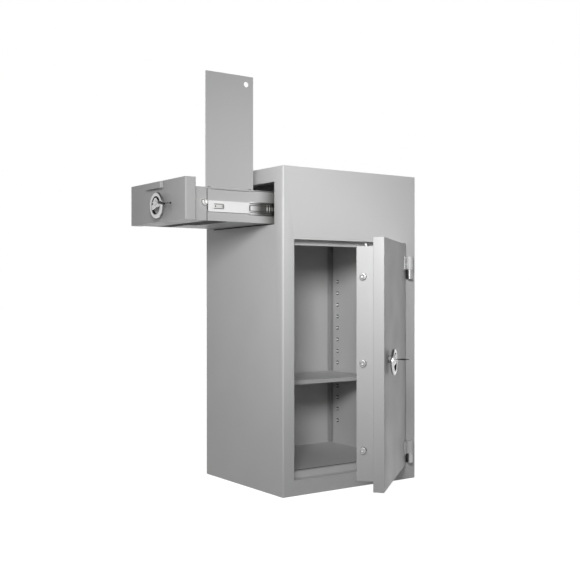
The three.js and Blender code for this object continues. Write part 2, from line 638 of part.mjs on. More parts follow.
// Outer member: a channel on the bracket, open towards the drawer.
function slideOuter(side) {
  const x = [slideX.outerStart, slideX.outerStart + slideX.outerLength];
  const body = block(x, slideSpan(side, webStart, outerEnd), zSpan(slide.outerHigh));
  const hollow = block([0, cabinet.width], slideSpan(side, webStart + slideY.outerWeb, box.side),
    zSpan(slide.outerHigh - 2 * slide.sheet));
  return cut(body, hollow);
}

// Middle member: a channel that runs in the outer one, with lips over the drawer member's edges.
function slideMiddle(side) {
  const x = [slideX.middleStart, slideX.middleStart + slideX.middleLength];
  const body = block(x, slideSpan(side, middleFront, middleWeb[1]), zSpan(slide.middleHigh));
  const hollow = block([0, cabinet.width], slideSpan(side, middleFront + slide.sheet, middleWeb[0]),
    zSpan(slide.middleHigh - 2 * slide.sheet));
  const mouth = block([0, cabinet.width], slideSpan(side, 0, middleWeb[0]),
    zSpan(slide.middleHigh - 2 * (slide.sheet + slideY.lip)));
  return cut(body, hollow, mouth);
}

const memberY = [middleWeb[0] - bayonet.clear - slideY.drawerThick, middleWeb[0] - bayonet.clear];
const memberX = trayX[0] + fit.gap;

// Drawer member: a flat rail with a U cut near its front, held off the tray by a spacer.
function slideDrawer(side) {
  const rail = block([memberX, memberX + slideX.drawerLength], slideSpan(side, ...memberY),
    zSpan(slide.drawerHigh));
  const spacer = block([memberX, memberX + bayonet.spacer], slideSpan(side, memberY[0], box.side - fit.gap),
    zSpan(slide.drawerHigh - 2 * slideY.lip));
  const { start, length, height, cut: groove } = bayonet;
  const x = [memberX + start, memberX + start + length];
  const depth = slideSpan(side, memberY[0] - fit.overrun, memberY[0] + groove);
  const outline = cut(block(x, depth, zSpan(height)),
    block([x[0] - fit.overrun, x[1] - groove], slideSpan(side, 0, box.side), zSpan(height - 2 * groove)));
  return cut(join(rail, spacer), outline);
}

// Assembly: cabinet pieces, then the turned door, then the drawn-out drawer.
const model = new THREE.Group();
model.position.set(-cabinet.width / 2, -cabinet.depth / 2, 0);
const root = new THREE.Group();
root.add(model);

const slabs = insulation();
const upperKnuckleZ = hingeZ.upper - fit.gap - knuckle.height;
const lowerKnuckleZ = hingeZ.lower - fit.gap - knuckle.height;
const clips = [-1, 1].flatMap((side) => louvreY.map((y) => [side, y]));
model.add(
  mesh("outer_casing", outerCasing(), "paint"),
  mesh("base_plate", basePlate(), "paint"),
  mesh("door_frame", doorFrame(), "paint"),
  mesh("vault_liner", vaultLiner(), "inside"),
  mesh("insulation_left", slabs.left, "fill"),
  mesh("insulation_right", slabs.right, "fill"),
  mesh("insulation_back", slabs.back, "fill"),
  mesh("insulation_floor", slabs.floor, "fill"),
  mesh("insulation_header", slabs.header, "fill"),
  mesh("drawer_deck", drawerDeck(), "inside"),
  mesh("drop_collar", dropCollar(), "inside"),
  mesh("slot_frame", slotFrame(), "paint"),
  mesh("shelf", shelfPlate(), "inside"),
  mesh("hinge_knuckle_upper", frameKnuckle(upperKnuckleZ), "steel"),
  mesh("hinge_knuckle_lower", frameKnuckle(lowerKnuckleZ), "steel"),
  mesh("hinge_pin_upper", hingePin(upperKnuckleZ), "steel"),
  mesh("hinge_pin_lower", hingePin(lowerKnuckleZ), "steel"),
  mesh("slide_bracket_near", slideBracket(-1), "zinc"),
  mesh("slide_bracket_far", slideBracket(1), "zinc"),
  mesh("slide_outer_near", slideOuter(-1), "zinc"),
  mesh("slide_outer_far", slideOuter(1), "zinc"),
);
clips.forEach(([side, y], i) => model.add(mesh(`shelf_clip_${i + 1}`, shelfClip(side, y), "zinc")));

// The door group turns about the hinge pins; its pieces are drawn shut and moved to the pin.
const doorGroup = new THREE.Group();
doorGroup.position.set(hinge.x, hinge.y, 0);
doorGroup.rotation.z = THREE.MathUtils.degToRad(swing.degrees);
const doorPieces = new THREE.Group();
doorPieces.position.set(-hinge.x, -hinge.y, 0);
doorGroup.add(doorPieces);
model.add(doorGroup);

const doorDepth = door.thick + spindle.fromBack;
const doorLock = new THREE.Group();
doorLock.position.set(doorHandleX, 0, doorHandleZ);
doorLock.rotation.x = Math.PI / 2;
const doorKeys = new THREE.Group();
doorKeys.rotation.z = THREE.MathUtils.degToRad(doorKey.turned);
doorKeys.add(mesh("door_lock_plug", lockPlug(doorDepth), "steel"),
  mesh("door_key", straightKey(), "steel"));
doorLock.add(
  mesh("door_ring_handle", ringHandle([0, -1], ringTurn.door), "steel"),
  mesh("door_handle_spindle", handleSpindle(doorDepth), "steel"),
  doorKeys,
  mesh("door_lock_case", lockBody(doorDepth), "zinc"),
);
doorPieces.add(
  mesh("door_skin", doorSkin(), "door"),
  mesh("door_fill", doorFill(), "fill"),
  mesh("door_back_plate", doorBackPlate(), "door"),
  mesh("boltwork_case", boltworkCase(), "paint"),
  mesh("hinge_block_upper", doorHingeBlock(hingeZ.upper), "paint"),
  mesh("hinge_block_lower", doorHingeBlock(hingeZ.lower), "paint"),
  mesh("bolt_bar", boltBar(), "zinc"),
  mesh("door_bolt_lower", doorSideBolt(sideBoltZ[0]), "steel"),
  mesh("door_bolt_middle", doorSideBolt(sideBoltZ[1]), "steel"),
  mesh("door_bolt_upper", doorSideBolt(sideBoltZ[2]), "steel"),
  mesh("door_top_bolt", doorTopBolt(), "steel"),
  doorLock,
);

// The drawer group is drawn out of the left face; the middle slide members lag by half.
const drawerGroup = new THREE.Group();
drawerGroup.position.x = -drawer.travel;
const carriageGroup = new THREE.Group();
carriageGroup.position.x = -drawer.travel / 2;
model.add(drawerGroup, carriageGroup);

const drawerDepth = drawer.panelThick + spindle.fromBack;
const drawerLock = new THREE.Group();
drawerLock.position.set(0, handleY, handleZ);
drawerLock.rotation.y = -Math.PI / 2;
const drawerKeys = new THREE.Group();
drawerKeys.rotation.z = THREE.MathUtils.degToRad(drawerKey.turned);
drawerKeys.add(mesh("drawer_lock_plug", lockPlug(drawerDepth), "steel"),
  mesh("drawer_key", foldedKey(), "steel"));
drawerLock.add(
  mesh("drawer_ring_handle", ringHandle([-1, 0], ringTurn.drawer), "steel"),
  mesh("drawer_handle_spindle", handleSpindle(drawerDepth), "steel"),
  drawerKeys,
  mesh("drawer_lock_case", lockBody(drawerDepth), "zinc"),
);
drawerGroup.add(
  mesh("drawer_front", drawerFront(), "door"),
  mesh("drawer_front_fill", drawerFrontFill(), "fill"),
  mesh("drawer_lock_box", drawerLockBox(), "paint"),
  mesh("drawer_tray", drawerTray(), "paint"),
  mesh("tray_cover", trayCover(), "paint"),
  mesh("lid_pin", lidPin(), "steel"),
  mesh("lid", lidPlate(), "paint"),
  mesh("drawer_pull", drawerPull(), "door"),
  mesh("drawer_bolt_near", drawerLockBolt(-1), "steel"),
  mesh("drawer_bolt_far", drawerLockBolt(1), "steel"),
  mesh("slide_drawer_near", slideDrawer(-1), "zinc"),
  mesh("slide_drawer_far", slideDrawer(1), "zinc"),
  drawerLock,
);
carriageGroup.add(
  mesh("slide_middle_near", slideMiddle(-1), "zinc"),
  mesh("slide_middle_far", slideMiddle(1), "zinc"),
);

export default root;
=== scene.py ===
"""Drop safe with a deposit drawer: the dressed model on its fixed frame.

Sizes in the classes are millimetres from the cabinet's left front foot: X to the right, Y to the
back and Z up. The finished meshes are in metres in the frame's own axes, whose origin lies on the
floor under the middle of the cabinet.
"""
import logging
import math
from collections.abc import Callable, Sequence
from dataclasses import dataclass, field
from enum import Enum
from itertools import product

import bmesh
import bpy
import numpy as np
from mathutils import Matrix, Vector


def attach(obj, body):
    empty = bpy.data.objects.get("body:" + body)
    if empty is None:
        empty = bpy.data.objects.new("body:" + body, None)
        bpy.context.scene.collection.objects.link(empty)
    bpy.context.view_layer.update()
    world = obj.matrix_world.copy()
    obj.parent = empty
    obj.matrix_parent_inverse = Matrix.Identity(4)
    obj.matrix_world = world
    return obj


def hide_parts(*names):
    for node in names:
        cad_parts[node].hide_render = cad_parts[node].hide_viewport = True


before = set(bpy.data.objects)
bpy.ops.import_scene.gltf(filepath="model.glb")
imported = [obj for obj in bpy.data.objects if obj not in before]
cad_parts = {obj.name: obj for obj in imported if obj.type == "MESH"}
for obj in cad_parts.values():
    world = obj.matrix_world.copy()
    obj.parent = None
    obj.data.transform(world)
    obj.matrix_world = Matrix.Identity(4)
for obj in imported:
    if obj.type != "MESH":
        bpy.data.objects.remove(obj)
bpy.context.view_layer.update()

# A millimetre in metres, the frame's origin and the cabinet's middle in millimetres, the distance
# in metres under which points are one, and the angle in degrees above which an edge is sharp.
MM = 0.001
CORNER = np.array([295.0, 252.0, 0.0])
MIDDLE = float(CORNER[0])
MERGE = 2e-6
SHARP = 32.0
# Colour of the painted shade that darkens the tray and the slides towards the slot.
SLOT_SHADE_COLOUR = 0x4C4B48
WHITE = 0xFFFFFF
Piece, Tree, Socket = bpy.types.Object, bpy.types.NodeTree, bpy.types.NodeSocket
Array = np.ndarray
Span = tuple[float, float]
Triple = tuple[float, float, float]
Stops = tuple[tuple[float, ...], ...]
log = logging.getLogger("drop_safe")


# Places: each moving group is drawn where it stands shut and then put at its rest pose.

def turn(axis: int, degrees: float) -> Array:
    """Rotation by degrees about one axis, right-handed.

    Args:
        axis: 0, 1 or 2 for X, Y or Z.
        degrees: angle of the turn.

    Returns:
        A 3 by 3 matrix.
    """
    a, b = (axis + 1) % 3, (axis + 2) % 3
    cosine, sine = math.cos(math.radians(degrees)), math.sin(math.radians(degrees))
    matrix = np.eye(3)
    matrix[a, a] = matrix[b, b] = cosine
    matrix[b, a], matrix[a, b] = sine, -sine
    return matrix


@dataclass(frozen=True)
class Pose:
    """Rest pose of a moving group: a turn about an upright axis, then a shift."""

    degrees: float = 0.0
    axis: Triple = (0.0, 0.0, 0.0)
    shift: Triple = (0.0, 0.0, 0.0)


class Group(Enum):
    """Groups that are drawn shut, with their rest poses."""

    CABINET = Pose()
    DOOR = Pose(degrees=40.1, axis=(550.0, -14.0, 0.0))
    DRAWER = Pose(shift=(-335.0, 0.0, 0.0))

    def place(self, points: Array) -> Array:
        """Points at rest, in metres in the frame's axes: turn(p - axis) + axis + shift - corner.

        Args:
            points: array of points in millimetres, drawn shut.

        Returns:
            Array of the same shape, in metres.
        """
        axis = np.array(self.value.axis)
        turned = (np.asarray(points, float) - axis) @ turn(2, self.value.degrees).T + axis
        return (turned + np.array(self.value.shift) - CORNER) * MM


class LockSeat(Enum):
    """Places of the two ring handles: group, centre, and the matrix from local to group axes."""

    DOOR = (Group.DOOR, (140.0, 0.0, 465.5), turn(0, 90.0))
    DRAWER = (Group.DRAWER, (0.0, 217.25, 973.0), turn(1, -90.0))

    def place(self, points: Array) -> Array:
        """Local points, Z out of the face, put on the leaf or drawer at rest, in metres."""
        group, centre, matrix = self.value
        return group.place(np.asarray(points, float) @ matrix.T + np.array(centre))


# Surfaces: grids of two parameters, worked out as whole arrays.

@dataclass
class Shell:
    """A piece's surface, gathered from grids and made one mesh at the end."""

    points: list[Array] = field(default_factory=list)
    faces: list[list[int]] = field(default_factory=list)
    count: int = 0

    def grid(self, points: Array, close_u: bool = False, close_v: bool = True,
             caps: bool = False) -> "Shell":
        """Adds the quads of a grid p[u, v].

        Args:
            points: array (nu, nv, 3).
            close_u: joins the last row to the first.
            close_v: joins the last column to the first.
            caps: closes the first and the last row with a face each.

        Returns:
            The shell itself.
        """
        nu, nv = points.shape[:2]
        index = np.arange(nu * nv).reshape(nu, nv) + self.count
        rows = np.vstack([index, index[:1]]) if close_u else index
        rows = np.hstack([rows, rows[:, :1]]) if close_v else rows
        quads = np.stack([rows[:-1, :-1], rows[1:, :-1], rows[1:, 1:], rows[:-1, 1:]], axis=-1)
        self.faces += quads.reshape(-1, 4).tolist()
        if caps:
            self.faces += [index[0].tolist(), index[-1][::-1].tolist()]
        self.points.append(points.reshape(-1, 3))
        self.count += nu * nv
        return self

    def solid(self, points: Array) -> "Shell":
        """Adds a grid of closed rows with a cap at each end."""
        return self.grid(points, caps=True)

    def data(self, name: str) -> bpy.types.Mesh:
        """The gathered grids as mesh data.

        Args:
            name: name of the mesh.

        Returns:
            The mesh.
        """
        data = bpy.data.meshes.new(name)
        data.from_pydata(np.vstack(self.points).tolist(), [], self.faces)
        return data

    def mesh(self, name: str) -> Piece:
        """One object of the gathered grids, with doubles merged and faces outward.

        Args:
            name: name of the piece.

        Returns:
            The new object, at the origin.
        """
        data = self.data(name)
        tidy(data)
        return add_object(name, data)


def tidy(data: bpy.types.Mesh, flat: float = 0.0) -> None:
    """Merges doubles, joins coplanar triangles if asked, and turns faces outward.

    Args:
        data: mesh to tidy.
        flat: angle in degrees under which neighbouring faces are joined; 0 leaves them.
    """
    mesh = bmesh.new()
    mesh.from_mesh(data)
    bmesh.ops.remove_doubles(mesh, verts=mesh.verts, dist=MERGE)
    bmesh.ops.dissolve_degenerate(mesh, edges=mesh.edges, dist=MERGE)
    if flat:
        bmesh.ops.dissolve_limit(mesh, angle_limit=math.radians(flat), verts=mesh.verts,
                                 edges=mesh.edges, use_dissolve_boundaries=False)
    bmesh.ops.recalc_face_normals(mesh, faces=mesh.faces)
    mesh.to_mesh(data)
    mesh.free()


def linked(name: str, data: bpy.types.ID) -> Piece:
    """Object of a mesh, lamp or camera, linked to the scene.

    Args:
        name: name of the object.
        data: its mesh, lamp or camera.

    Returns:
        The object.
    """
    piece = bpy.data.objects.new(name, data)
    bpy.context.scene.collection.objects.link(piece)
    return piece


def add_object(name: str, data: bpy.types.Mesh) -> Piece:
    """Object of a mesh, smooth but for its sharp edges.

    Args:
        name: name of the object.
        data: its mesh.

    Returns:
        The object, linked to the scene.
    """
    data.shade_smooth()
    data.set_sharp_from_angle(angle=math.radians(SHARP))
    return linked(name, data)


def circle(count: int) -> Array:
    """Angles of a full turn, without the repeated end."""
    return np.linspace(0.0, 2.0 * np.pi, count, endpoint=False)


def revolve(profile: Sequence[Span], count: int = 48) -> Array:
    """Surface of revolution: p(i, t) = (r_i cos t, r_i sin t, h_i).

    Args:
        profile: points of radius and height.
        count: steps round.

    Returns:
        Array (profile, count, 3), closed in its second direction.
    """
    outline = np.array(profile, float)
    radius, height = outline[:, :1], outline[:, 1:]
    angle = circle(count)[None, :]
    return np.stack([radius * np.cos(angle), radius * np.sin(angle), height + 0.0 * angle], axis=-1)


def superellipse(half_a: float, half_b: float, power: float, count: int = 28) -> Array:
    """Closed section (a |cos t|^(2/n) sgn cos t, b |sin t|^(2/n) sgn sin t).

    Args:
        half_a: half width.
        half_b: half height.
        power: 2 is an ellipse, larger is squarer.
        count: steps round.

    Returns:
        Array (count, 2).
    """
    angle = circle(count)
    cosine, sine = np.cos(angle), np.sin(angle)
    a = half_a * np.sign(cosine) * np.abs(cosine) ** (2.0 / power)
    b = half_b * np.sign(sine) * np.abs(sine) ** (2.0 / power)
    return np.stack([a, b], axis=-1)


def filling(a: Span, b: Span, power: float) -> Array:
    """Superellipse of a power that fills the span a by the span b."""
    centre = [(a[0] + a[1]) / 2, (b[0] + b[1]) / 2]
    return superellipse((a[1] - a[0]) / 2, (b[1] - b[0]) / 2, power) + centre


def carried(outline: Array, start: float, end: float) -> Array:
    """A closed outline carried along an axis: p(k, i) = (a_i, b_i, z_k).

    Args:
        outline: array (n, 2) of the section.
        start: first height.
        end: last height.

    Returns:
        Array (2, n, 3), closed in its second direction.
    """
    height = np.array([[start], [end]])
    return np.stack([outline[None, :, 0] + 0.0 * height, outline[None, :, 1] + 0.0 * height,
                     height + 0.0 * outline[None, :, 0]], axis=-1)


def ribbon(path: Array, half: float) -> Array:
    """Closed outline of a thin strip: a path offset by half to each side, along its normals.

    Args:
        path: array (n, 2) of the strip's middle.
        half: half of the sheet's thickness.

    Returns:
        Array (2 n, 2).
    """
    tangent = np.gradient(path, axis=0)
    tangent /= np.linalg.norm(tangent, axis=1, keepdims=True)
    normal = np.stack([-tangent[:, 1], tangent[:, 0]], axis=1) * half
    return np.vstack([path + normal, (path - normal)[::-1]])


def bar(x: Span, y: float, z: Span, half: float) -> Array:
    """Flat bar of rounded corners: an outline (x, z) carried from y - half to y + half."""
    return carried(filling(x, z, 7.0), y - half, y + half)[..., [0, 2, 1]]


# Materials.

def linear(code: int) -> tuple[float, float, float, float]:
    """Linear colour of an sRGB hex value.

    Args:
        code: colour as 0xRRGGBB.

    Returns:
        Red, green, blue and an alpha of 1.
    """
    parts = [((code >> shift) & 255) / 255.0 for shift in (16, 8, 0)]
    red, green, blue = (p / 12.92 if p <= 0.04045 else ((p + 0.055) / 1.055) ** 2.4 for p in parts)
    return red, green, blue, 1.0


def node(tree: Tree, kind: str, inputs: dict[str | int, object] | None = None,
         **settings: object) -> bpy.types.Node:
    """Adds a node.

    Args:
        tree: node tree.
        kind: type name of the node, without the ShaderNode that each begins with.
        inputs: socket name or number to a value, or to an output socket that is linked to it.
        settings: attributes of the node.

    Returns:
        The new node.
    """
    made = tree.nodes.new(f"ShaderNode{kind}")
    for key, value in settings.items():
        setattr(made, key, value)
    for key, value in (inputs or {}).items():
        if isinstance(value, Socket):
            tree.links.new(value, made.inputs[key])
        else:
            made.inputs[key].default_value = value
    return made


def emptied(owner: bpy.types.Material | bpy.types.World) -> Tree:
    """Node tree of a material or world, switched on and empty.

    Args:
        owner: the material or world.

    Returns:
        The tree.
    """
    owner.use_nodes = True
    owner.node_tree.nodes.clear()
    return owner.node_tree


def relief(tree: Tree, place: Socket, period: float, height: float, strength: float,
           detail: float) -> tuple[Socket, Socket]:
    """Grains over a surface and the normals of the skin that they raise.

    Args:
        tree: node tree.
        place: object coordinates.
        period: width of a grain in millimetres.
        height: its height in millimetres.
        strength: share of the height that shows.
        detail: number of finer layers.

    Returns:
        Output sockets of the grains' height and of the normals.
    """
    grain = node(tree, "TexNoise",
                 {"Vector": place, "Scale": 1.0 / (period * MM), "Detail": detail})
    bump = node(tree, "Bump", {"Height": grain.outputs["Fac"], "Distance": height * MM,
                               "Strength": strength})
    return grain.outputs["Fac"], bump.outputs["Normal"]


def rubbed_and_highlit_edges(tree: Tree, place: Socket, width: float) -> Socket:
    """1 along edges that hands and cloths wear, 0 on flats, broken up every 14 mm or so by a noise.

    The mask is how far the normal of a rounded edge of that width leans from the face's own. The
    powder coats lighten their edges by it, partly as wear and partly as a painted highlight on the
    folds.

    Args:
        tree: node tree.
        place: object coordinates.
        width: width of the rubbed band in millimetres.

    Returns:
        Output socket of the mask.
    """
    face = node(tree, "NewGeometry").outputs["True Normal"]
    round_edge = node(tree, "Bevel", {"Radius": width * MM}, samples=6)
    lean = node(tree, "VectorMath", {0: face, 1: round_edge.outputs[0]}, operation="DOT_PRODUCT")
    edge = node(tree, "MapRange", {"Value": lean.outputs["Value"], "From Min": 0.995,
                                   "From Max": 0.86})
    broken = node(tree, "TexNoise", {"Vector": place, "Scale": 1.0 / (14.0 * MM)})
    patch = node(tree, "MapRange", {"Value": broken.outputs["Fac"], "From Min": 0.35,
                                    "From Max": 0.65, "To Min": 0.35})
    return node(tree, "Math", {0: edge.outputs[0], 1: patch.outputs[0]},
                operation="MULTIPLY").outputs[0]


@dataclass(frozen=True)
class Finish:
    """A real finish: its name, the record's slot and the two ends of its colour.

    The field after roughness, if given, says where painted shade that darkens a part towards the
    slot starts and where it is full, both in millimetres before the slot, and how strong it gets.
    """

    name: str
    slot: str
    light: int
    dark: int
    roughness: float
    slot_shade: Triple | None = None

    def darken_towards_slot(self, tree: Tree, place: Socket, colour: Socket) -> Socket:
        """Painted shade that darkens what runs through the slot, the more the further in it goes.

        Args:
            tree: node tree.
            place: object coordinates.
            colour: colour that the painted shade darkens.

        Returns:
            Output socket of the colour with the painted shade.
        """
        if self.slot_shade is None:
            return colour
        start, end, strength = self.slot_shade
        across = node(tree, "SeparateXYZ", {"Vector": place}).outputs["X"]
        depth = node(tree, "MapRange", {"Value": across, "From Min": (-start - MIDDLE) * MM,
                                        "From Max": (-end - MIDDLE) * MM, "To Max": strength},
                     interpolation_type="SMOOTHSTEP")
        return node(tree, "Mix", {0: depth.outputs[0], 6: colour, 7: linear(SLOT_SHADE_COLOUR)},
                    data_type="RGBA").outputs[2]

    def material(self) -> bpy.types.Material:
        """The material, made once and then reused.

        Returns:
            The material.
        """
        found = bpy.data.materials.get(self.name)
        if found:
            return found
        made = bpy.data.materials.new(self.name)
        tree = emptied(made)
        place = node(tree, "TexCoord").outputs["Object"]
        shader = self.surface(tree, place)
        node(tree, "OutputMaterial", {"Surface": shader.outputs[0]})
        return made

    def tone(self, tree: Tree, place: Socket, period: float, detail: float = 3.0) -> Socket:
        """Soft change between the two colours, in patches of about period millimetres.

        Args:
            tree: node tree.
            place: object coordinates.
            period: width of a patch in millimetres.
            detail: number of finer layers.

        Returns:
            Output socket of the colour.
        """
        cloud = node(tree, "TexNoise",
                     {"Vector": place, "Scale": 1.0 / (period * MM), "Detail": detail})
        return node(tree, "Mix", {0: cloud.outputs["Fac"], 6: linear(self.dark),
                                  7: linear(self.light)}, data_type="RGBA").outputs[2]

    def surface(self, tree: Tree, place: Socket) -> bpy.types.Node:
        """The shader, which each kind of finish makes in its own way."""
        raise NotImplementedError


@dataclass(frozen=True)
class PowderCoat(Finish):
    """Polyester powder, sprayed and baked on steel: a satin skin with a fine orange peel.

    Its sizes in millimetres are those of the peel, its depth, a worn edge, and the patches of
    gloss and of tone.
    """

    peel: float = 1.6
    depth: float = 0.05
    # Colour of the edges: partly worn paint, partly a painted highlight on the folds.
    rub_and_highlight: int = 0xE2E2E2
    worn: float = 1.4
    sheen: float = 90.0
    cloud: float = 220.0

    def surface(self, tree: Tree, place: Socket) -> bpy.types.Node:
        """Orange peel as bump, gloss in patches, and edges worn smoother and lighter, the lighter
        colour partly a painted highlight on the folds.

        The peel's real spacing is about 0.8 mm; it is drawn at twice that so that it shows.

        Args:
            tree: node tree.
            place: object coordinates.

        Returns:
            The shader.
        """
        _, normal = relief(tree, place, self.peel, self.depth, 0.6, 2.0)
        patch = node(tree, "TexNoise", {"Vector": place, "Scale": 1.0 / (self.sheen * MM)})
        gloss = node(tree, "MapRange",
                     {"Value": patch.outputs["Fac"], "From Min": 0.3, "From Max": 0.7,
                      "To Min": self.roughness - 0.05, "To Max": self.roughness + 0.05})
        edge = rubbed_and_highlit_edges(tree, place, self.worn)
        colour = node(tree, "Mix", {0: edge, 6: self.tone(tree, place, self.cloud),
                                    7: linear(self.rub_and_highlight)}, data_type="RGBA")
        smoother = node(tree, "Math", {0: edge, 1: -0.1, 2: gloss.outputs[0]},
                        operation="MULTIPLY_ADD")
        return node(tree, "BsdfPrincipled",
                    {"Base Color": self.darken_towards_slot(tree, place, colour.outputs[2]),
                     "Roughness": smoother.outputs[0], "IOR": 1.5, "Normal": normal})


@dataclass(frozen=True)
class BrushedMetal(Finish):
    """Metal with marks of a wheel or lathe, or the lines of rolled strip, that soften its shine.

    Its sizes in millimetres are those of a mark, its depth, a worn edge and the patches of tone.
    """

    line: float = 0.8
    stretch: Triple = (1.0, 1.0, 1.0)
    depth: float = 0.02
    worn: float = 0.7
    cloud: float = 30.0

    def surface(self, tree: Tree, place: Socket) -> bpy.types.Node:
        """Lines as noise drawn out along the stretch, and edges that handling has dulled.

        The lines are wider than the real ones, so that they show.

        Args:
            tree: node tree.
            place: object coordinates.

        Returns:
            The shader.
        """
        drawn = node(tree, "Mapping", {"Vector": place, "Scale": self.stretch})
        lines, normal = relief(tree, drawn.outputs[0], self.line, self.depth, 0.5, 2.0)
        gloss = node(tree, "MapRange", {"Value": lines, "To Min": self.roughness - 0.06,
                                        "To Max": self.roughness + 0.06})
        edge = rubbed_and_highlit_edges(tree, place, self.worn)
        duller = node(tree, "Math", {0: edge, 1: 0.12, 2: gloss.outputs[0]},
                      operation="MULTIPLY_ADD")
        return node(tree, "BsdfPrincipled",
                    {"Base Color": self.darken_towards_slot(tree, place, self.tone(tree, place, self.cloud)),
                     "Roughness": duller.outputs[0], "Metallic": 1.0, "Normal": normal})


@dataclass(frozen=True)
class Matt(Finish):
    """Bare matt matter with grains in colour and bump: by default cement poured between sheets."""

    grain: float = 4.0
    height: float = 0.4
    strength: float = 0.8
    detail: float = 5.0
    patch: float = 6.0

    def surface(self, tree: Tree, place: Socket) -> bpy.types.Node:
        """Grains as bump over a soft change of tone."""
        _, normal = relief(tree, place, self.grain, self.height, self.strength, self.detail)
        return node(tree, "BsdfPrincipled",
                    {"Base Color": self.tone(tree, place, self.patch, self.detail),
                     "Roughness": self.roughness, "Normal": normal})


class Finishes(Enum):
    """Finishes of this safe."""

    # Light gray powder coat on the cabinet: even and satin, with a broad soft highlight on folds.
    CASING = PowderCoat("light_gray_powder_coat", "paint", 0xD9D9D9, 0xD5D5D5, 0.42)
    # The same powder on the door, the drawer's front and its lid, a little darker as painted shade.
    FRONT = PowderCoat("light_gray_powder_coat_darkened_as_painted_shade", "door_paint", 0xC4C4C4, 0xC0C0C0,
                       0.44)
    # The same powder darkened as painted shade, on the handles' collars and the vault's corner
    # sheets.
    SHADE = PowderCoat("darker_powder_coat_as_painted_shade", "door_paint", 0xA8A8A8, 0xA2A2A2, 0.6,
                       rub_and_highlight=0xB2B2B2)
    # Thinner coat inside the vault, a little duller, since nobody wipes it.
    VAULT = PowderCoat("thin_gray_powder_coat", "interior_paint", 0xD4D4D4, 0xCECECE, 0.5)
    # The cabinet's powder on the tray, a little darker, with painted shade that darkens it towards
    # the slot.
    TRAY = PowderCoat("light_gray_powder_coat_painted_shade_at_slot", "paint", 0xC6C6C6, 0xC2C2C2, 0.42,
                      (62.0, -18.0, 0.85))
    # Hard chrome on turned steel: bright, with reflections softened by the turning marks.
    CHROME = BrushedMetal("satin_chromed_turned_steel", "bright_steel", 0xC8C8C8, 0xBABABA, 0.22)
    # Drawn steel of the bolts and knuckles, ground and left bare: duller than the chrome.
    BOLT = BrushedMetal("ground_bare_steel_bar", "bright_steel", 0xA8A8A8, 0x989898, 0.42)
    # Bright zinc plate on rolled strip: pale, with lines along the rolling direction.
    ZINC = BrushedMetal("bright_zinc_plated_rolled_strip", "zinc_plate", 0xE0E0DE, 0xD4D4D1, 0.36,
                        line=0.9, stretch=(0.05, 1.0, 1.0))
    # The same plate on the slides that run through the slot, with painted shade that darkens them
    # further in.
    SLIDE = BrushedMetal("bright_zinc_plated_strip_painted_shade_at_slot", "zinc_plate", 0xF2F2F2,
                         0xEAEAEA, 0.36, (92.0, 40.0, 0.97), 0.9, (0.05, 1.0, 1.0))
    # Matt black as painted shade: strips and sheets that stand for narrow gaps and openings, so
    # that they read as dark lines, as gaps do.
    GAP_SHADE = Matt("matt_black_painted_shade", "barrier_fill", 0x1E1E1D, 0x161615, 0.9,
                  grain=0.5, height=0.05, strength=0.6, detail=3.0, patch=8.0)
    # Cast cement barrier: matt, with coarse grains and pores, seen only at the cut edges.
    BARRIER = Matt("cast_cement_barrier", "barrier_fill", 0x938F88, 0x827E77, 0.95)
    # Oiled spring steel of cages, stops, springs and spindles: dark, with a dull shine, the dark
    # partly painted shade in the slides' gaps and round the release levers. It also stands for the
    # rings' bores, which are dark as painted shade.
    CAGE = BrushedMetal("oiled_spring_steel_and_painted_shade", "zinc_plate", 0x4E4E4C, 0x3C3C3A, 0.4, line=0.9)
    # Keys of nickel silver, coloured dark as painted shade.
    KEY = BrushedMetal("nickel_silver_key_dark_as_painted_shade", "bright_steel", 0x3E3D3B, 0x2C2B2A, 0.45,
                       line=0.6)


def dress(piece: Piece, finish: Finishes, body: str, *nodes: str) -> None:
    """Gives a piece its finish, its body and the nodes that it stands for.

    Args:
        piece: the object.
        finish: its finish.
        body: name of the body that it rides on.
        nodes: frame nodes that it replaces.
    """
    paint(piece, finish)
    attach(piece, body)
    if nodes:
        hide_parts(*nodes)
    log.info("%s rides on %s%s", piece.name, body, f", for {', '.join(nodes)}" if nodes else "")


def refinish(name: str, width: float, finish: Finishes, body: str, segments: int = 2) -> None:
    """Puts a dressed copy of a frame node in its place, with edges broken by a live bevel.

    Args:
        name: name of the node.
        width: width of the broken edge in millimetres.
        finish: its finish.
        body: name of the body that it rides on.
        segments: steps across the edge.
    """
    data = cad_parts[name].data.copy()
    data.materials.clear()
    tidy(data, flat=0.4)
    piece = add_object(f"{name}_finish", data)
    bevel = piece.modifiers.new("broken_edges", "BEVEL")
    bevel.width = width * MM
    bevel.segments = segments
    bevel.limit_method = "ANGLE"
    bevel.angle_limit = math.radians(SHARP)
    bevel.harden_normals = True
    bevel.miter_outer = "MITER_ARC"
    dress(piece, finish, body, name)


def paint(piece: Piece, finish: Finishes) -> None:
    """Puts a finish's material on an object's only slot."""
    piece.data.materials.clear()
    piece.data.materials.append(finish.value.material())


def repaint(finish: Finishes, *names: str) -> None:
    """Gives frame nodes that stay as they are a finish.

    Args:
        finish: the finish.
        names: names of the nodes.
    """
    for name in names:
        paint(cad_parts[name], finish)
        log.info("%s keeps its shape, in %s", name, finish.value.name)


# Sub-assemblies.

@dataclass
class CabinetShell:
    """Outer casing, door frame and what closes them."""

    fold: float = 1.2
    frame_edge: float = 0.9

    def build(self) -> None:
        """Builds and dresses the shell."""
        refinish("outer_casing", self.fold, Finishes.CASING, "cabinet", 3)
        refinish("door_frame", self.frame_edge, Finishes.CASING, "cabinet")
        refinish("slot_frame", self.frame_edge, Finishes.CASING, "cabinet")
        repaint(Finishes.CASING, "base_plate", "drawer_deck", "drop_collar")
        repaint(Finishes.BARRIER, *(f"insulation_{side}" for side in
                                    ("left", "right", "back", "floor", "header")))


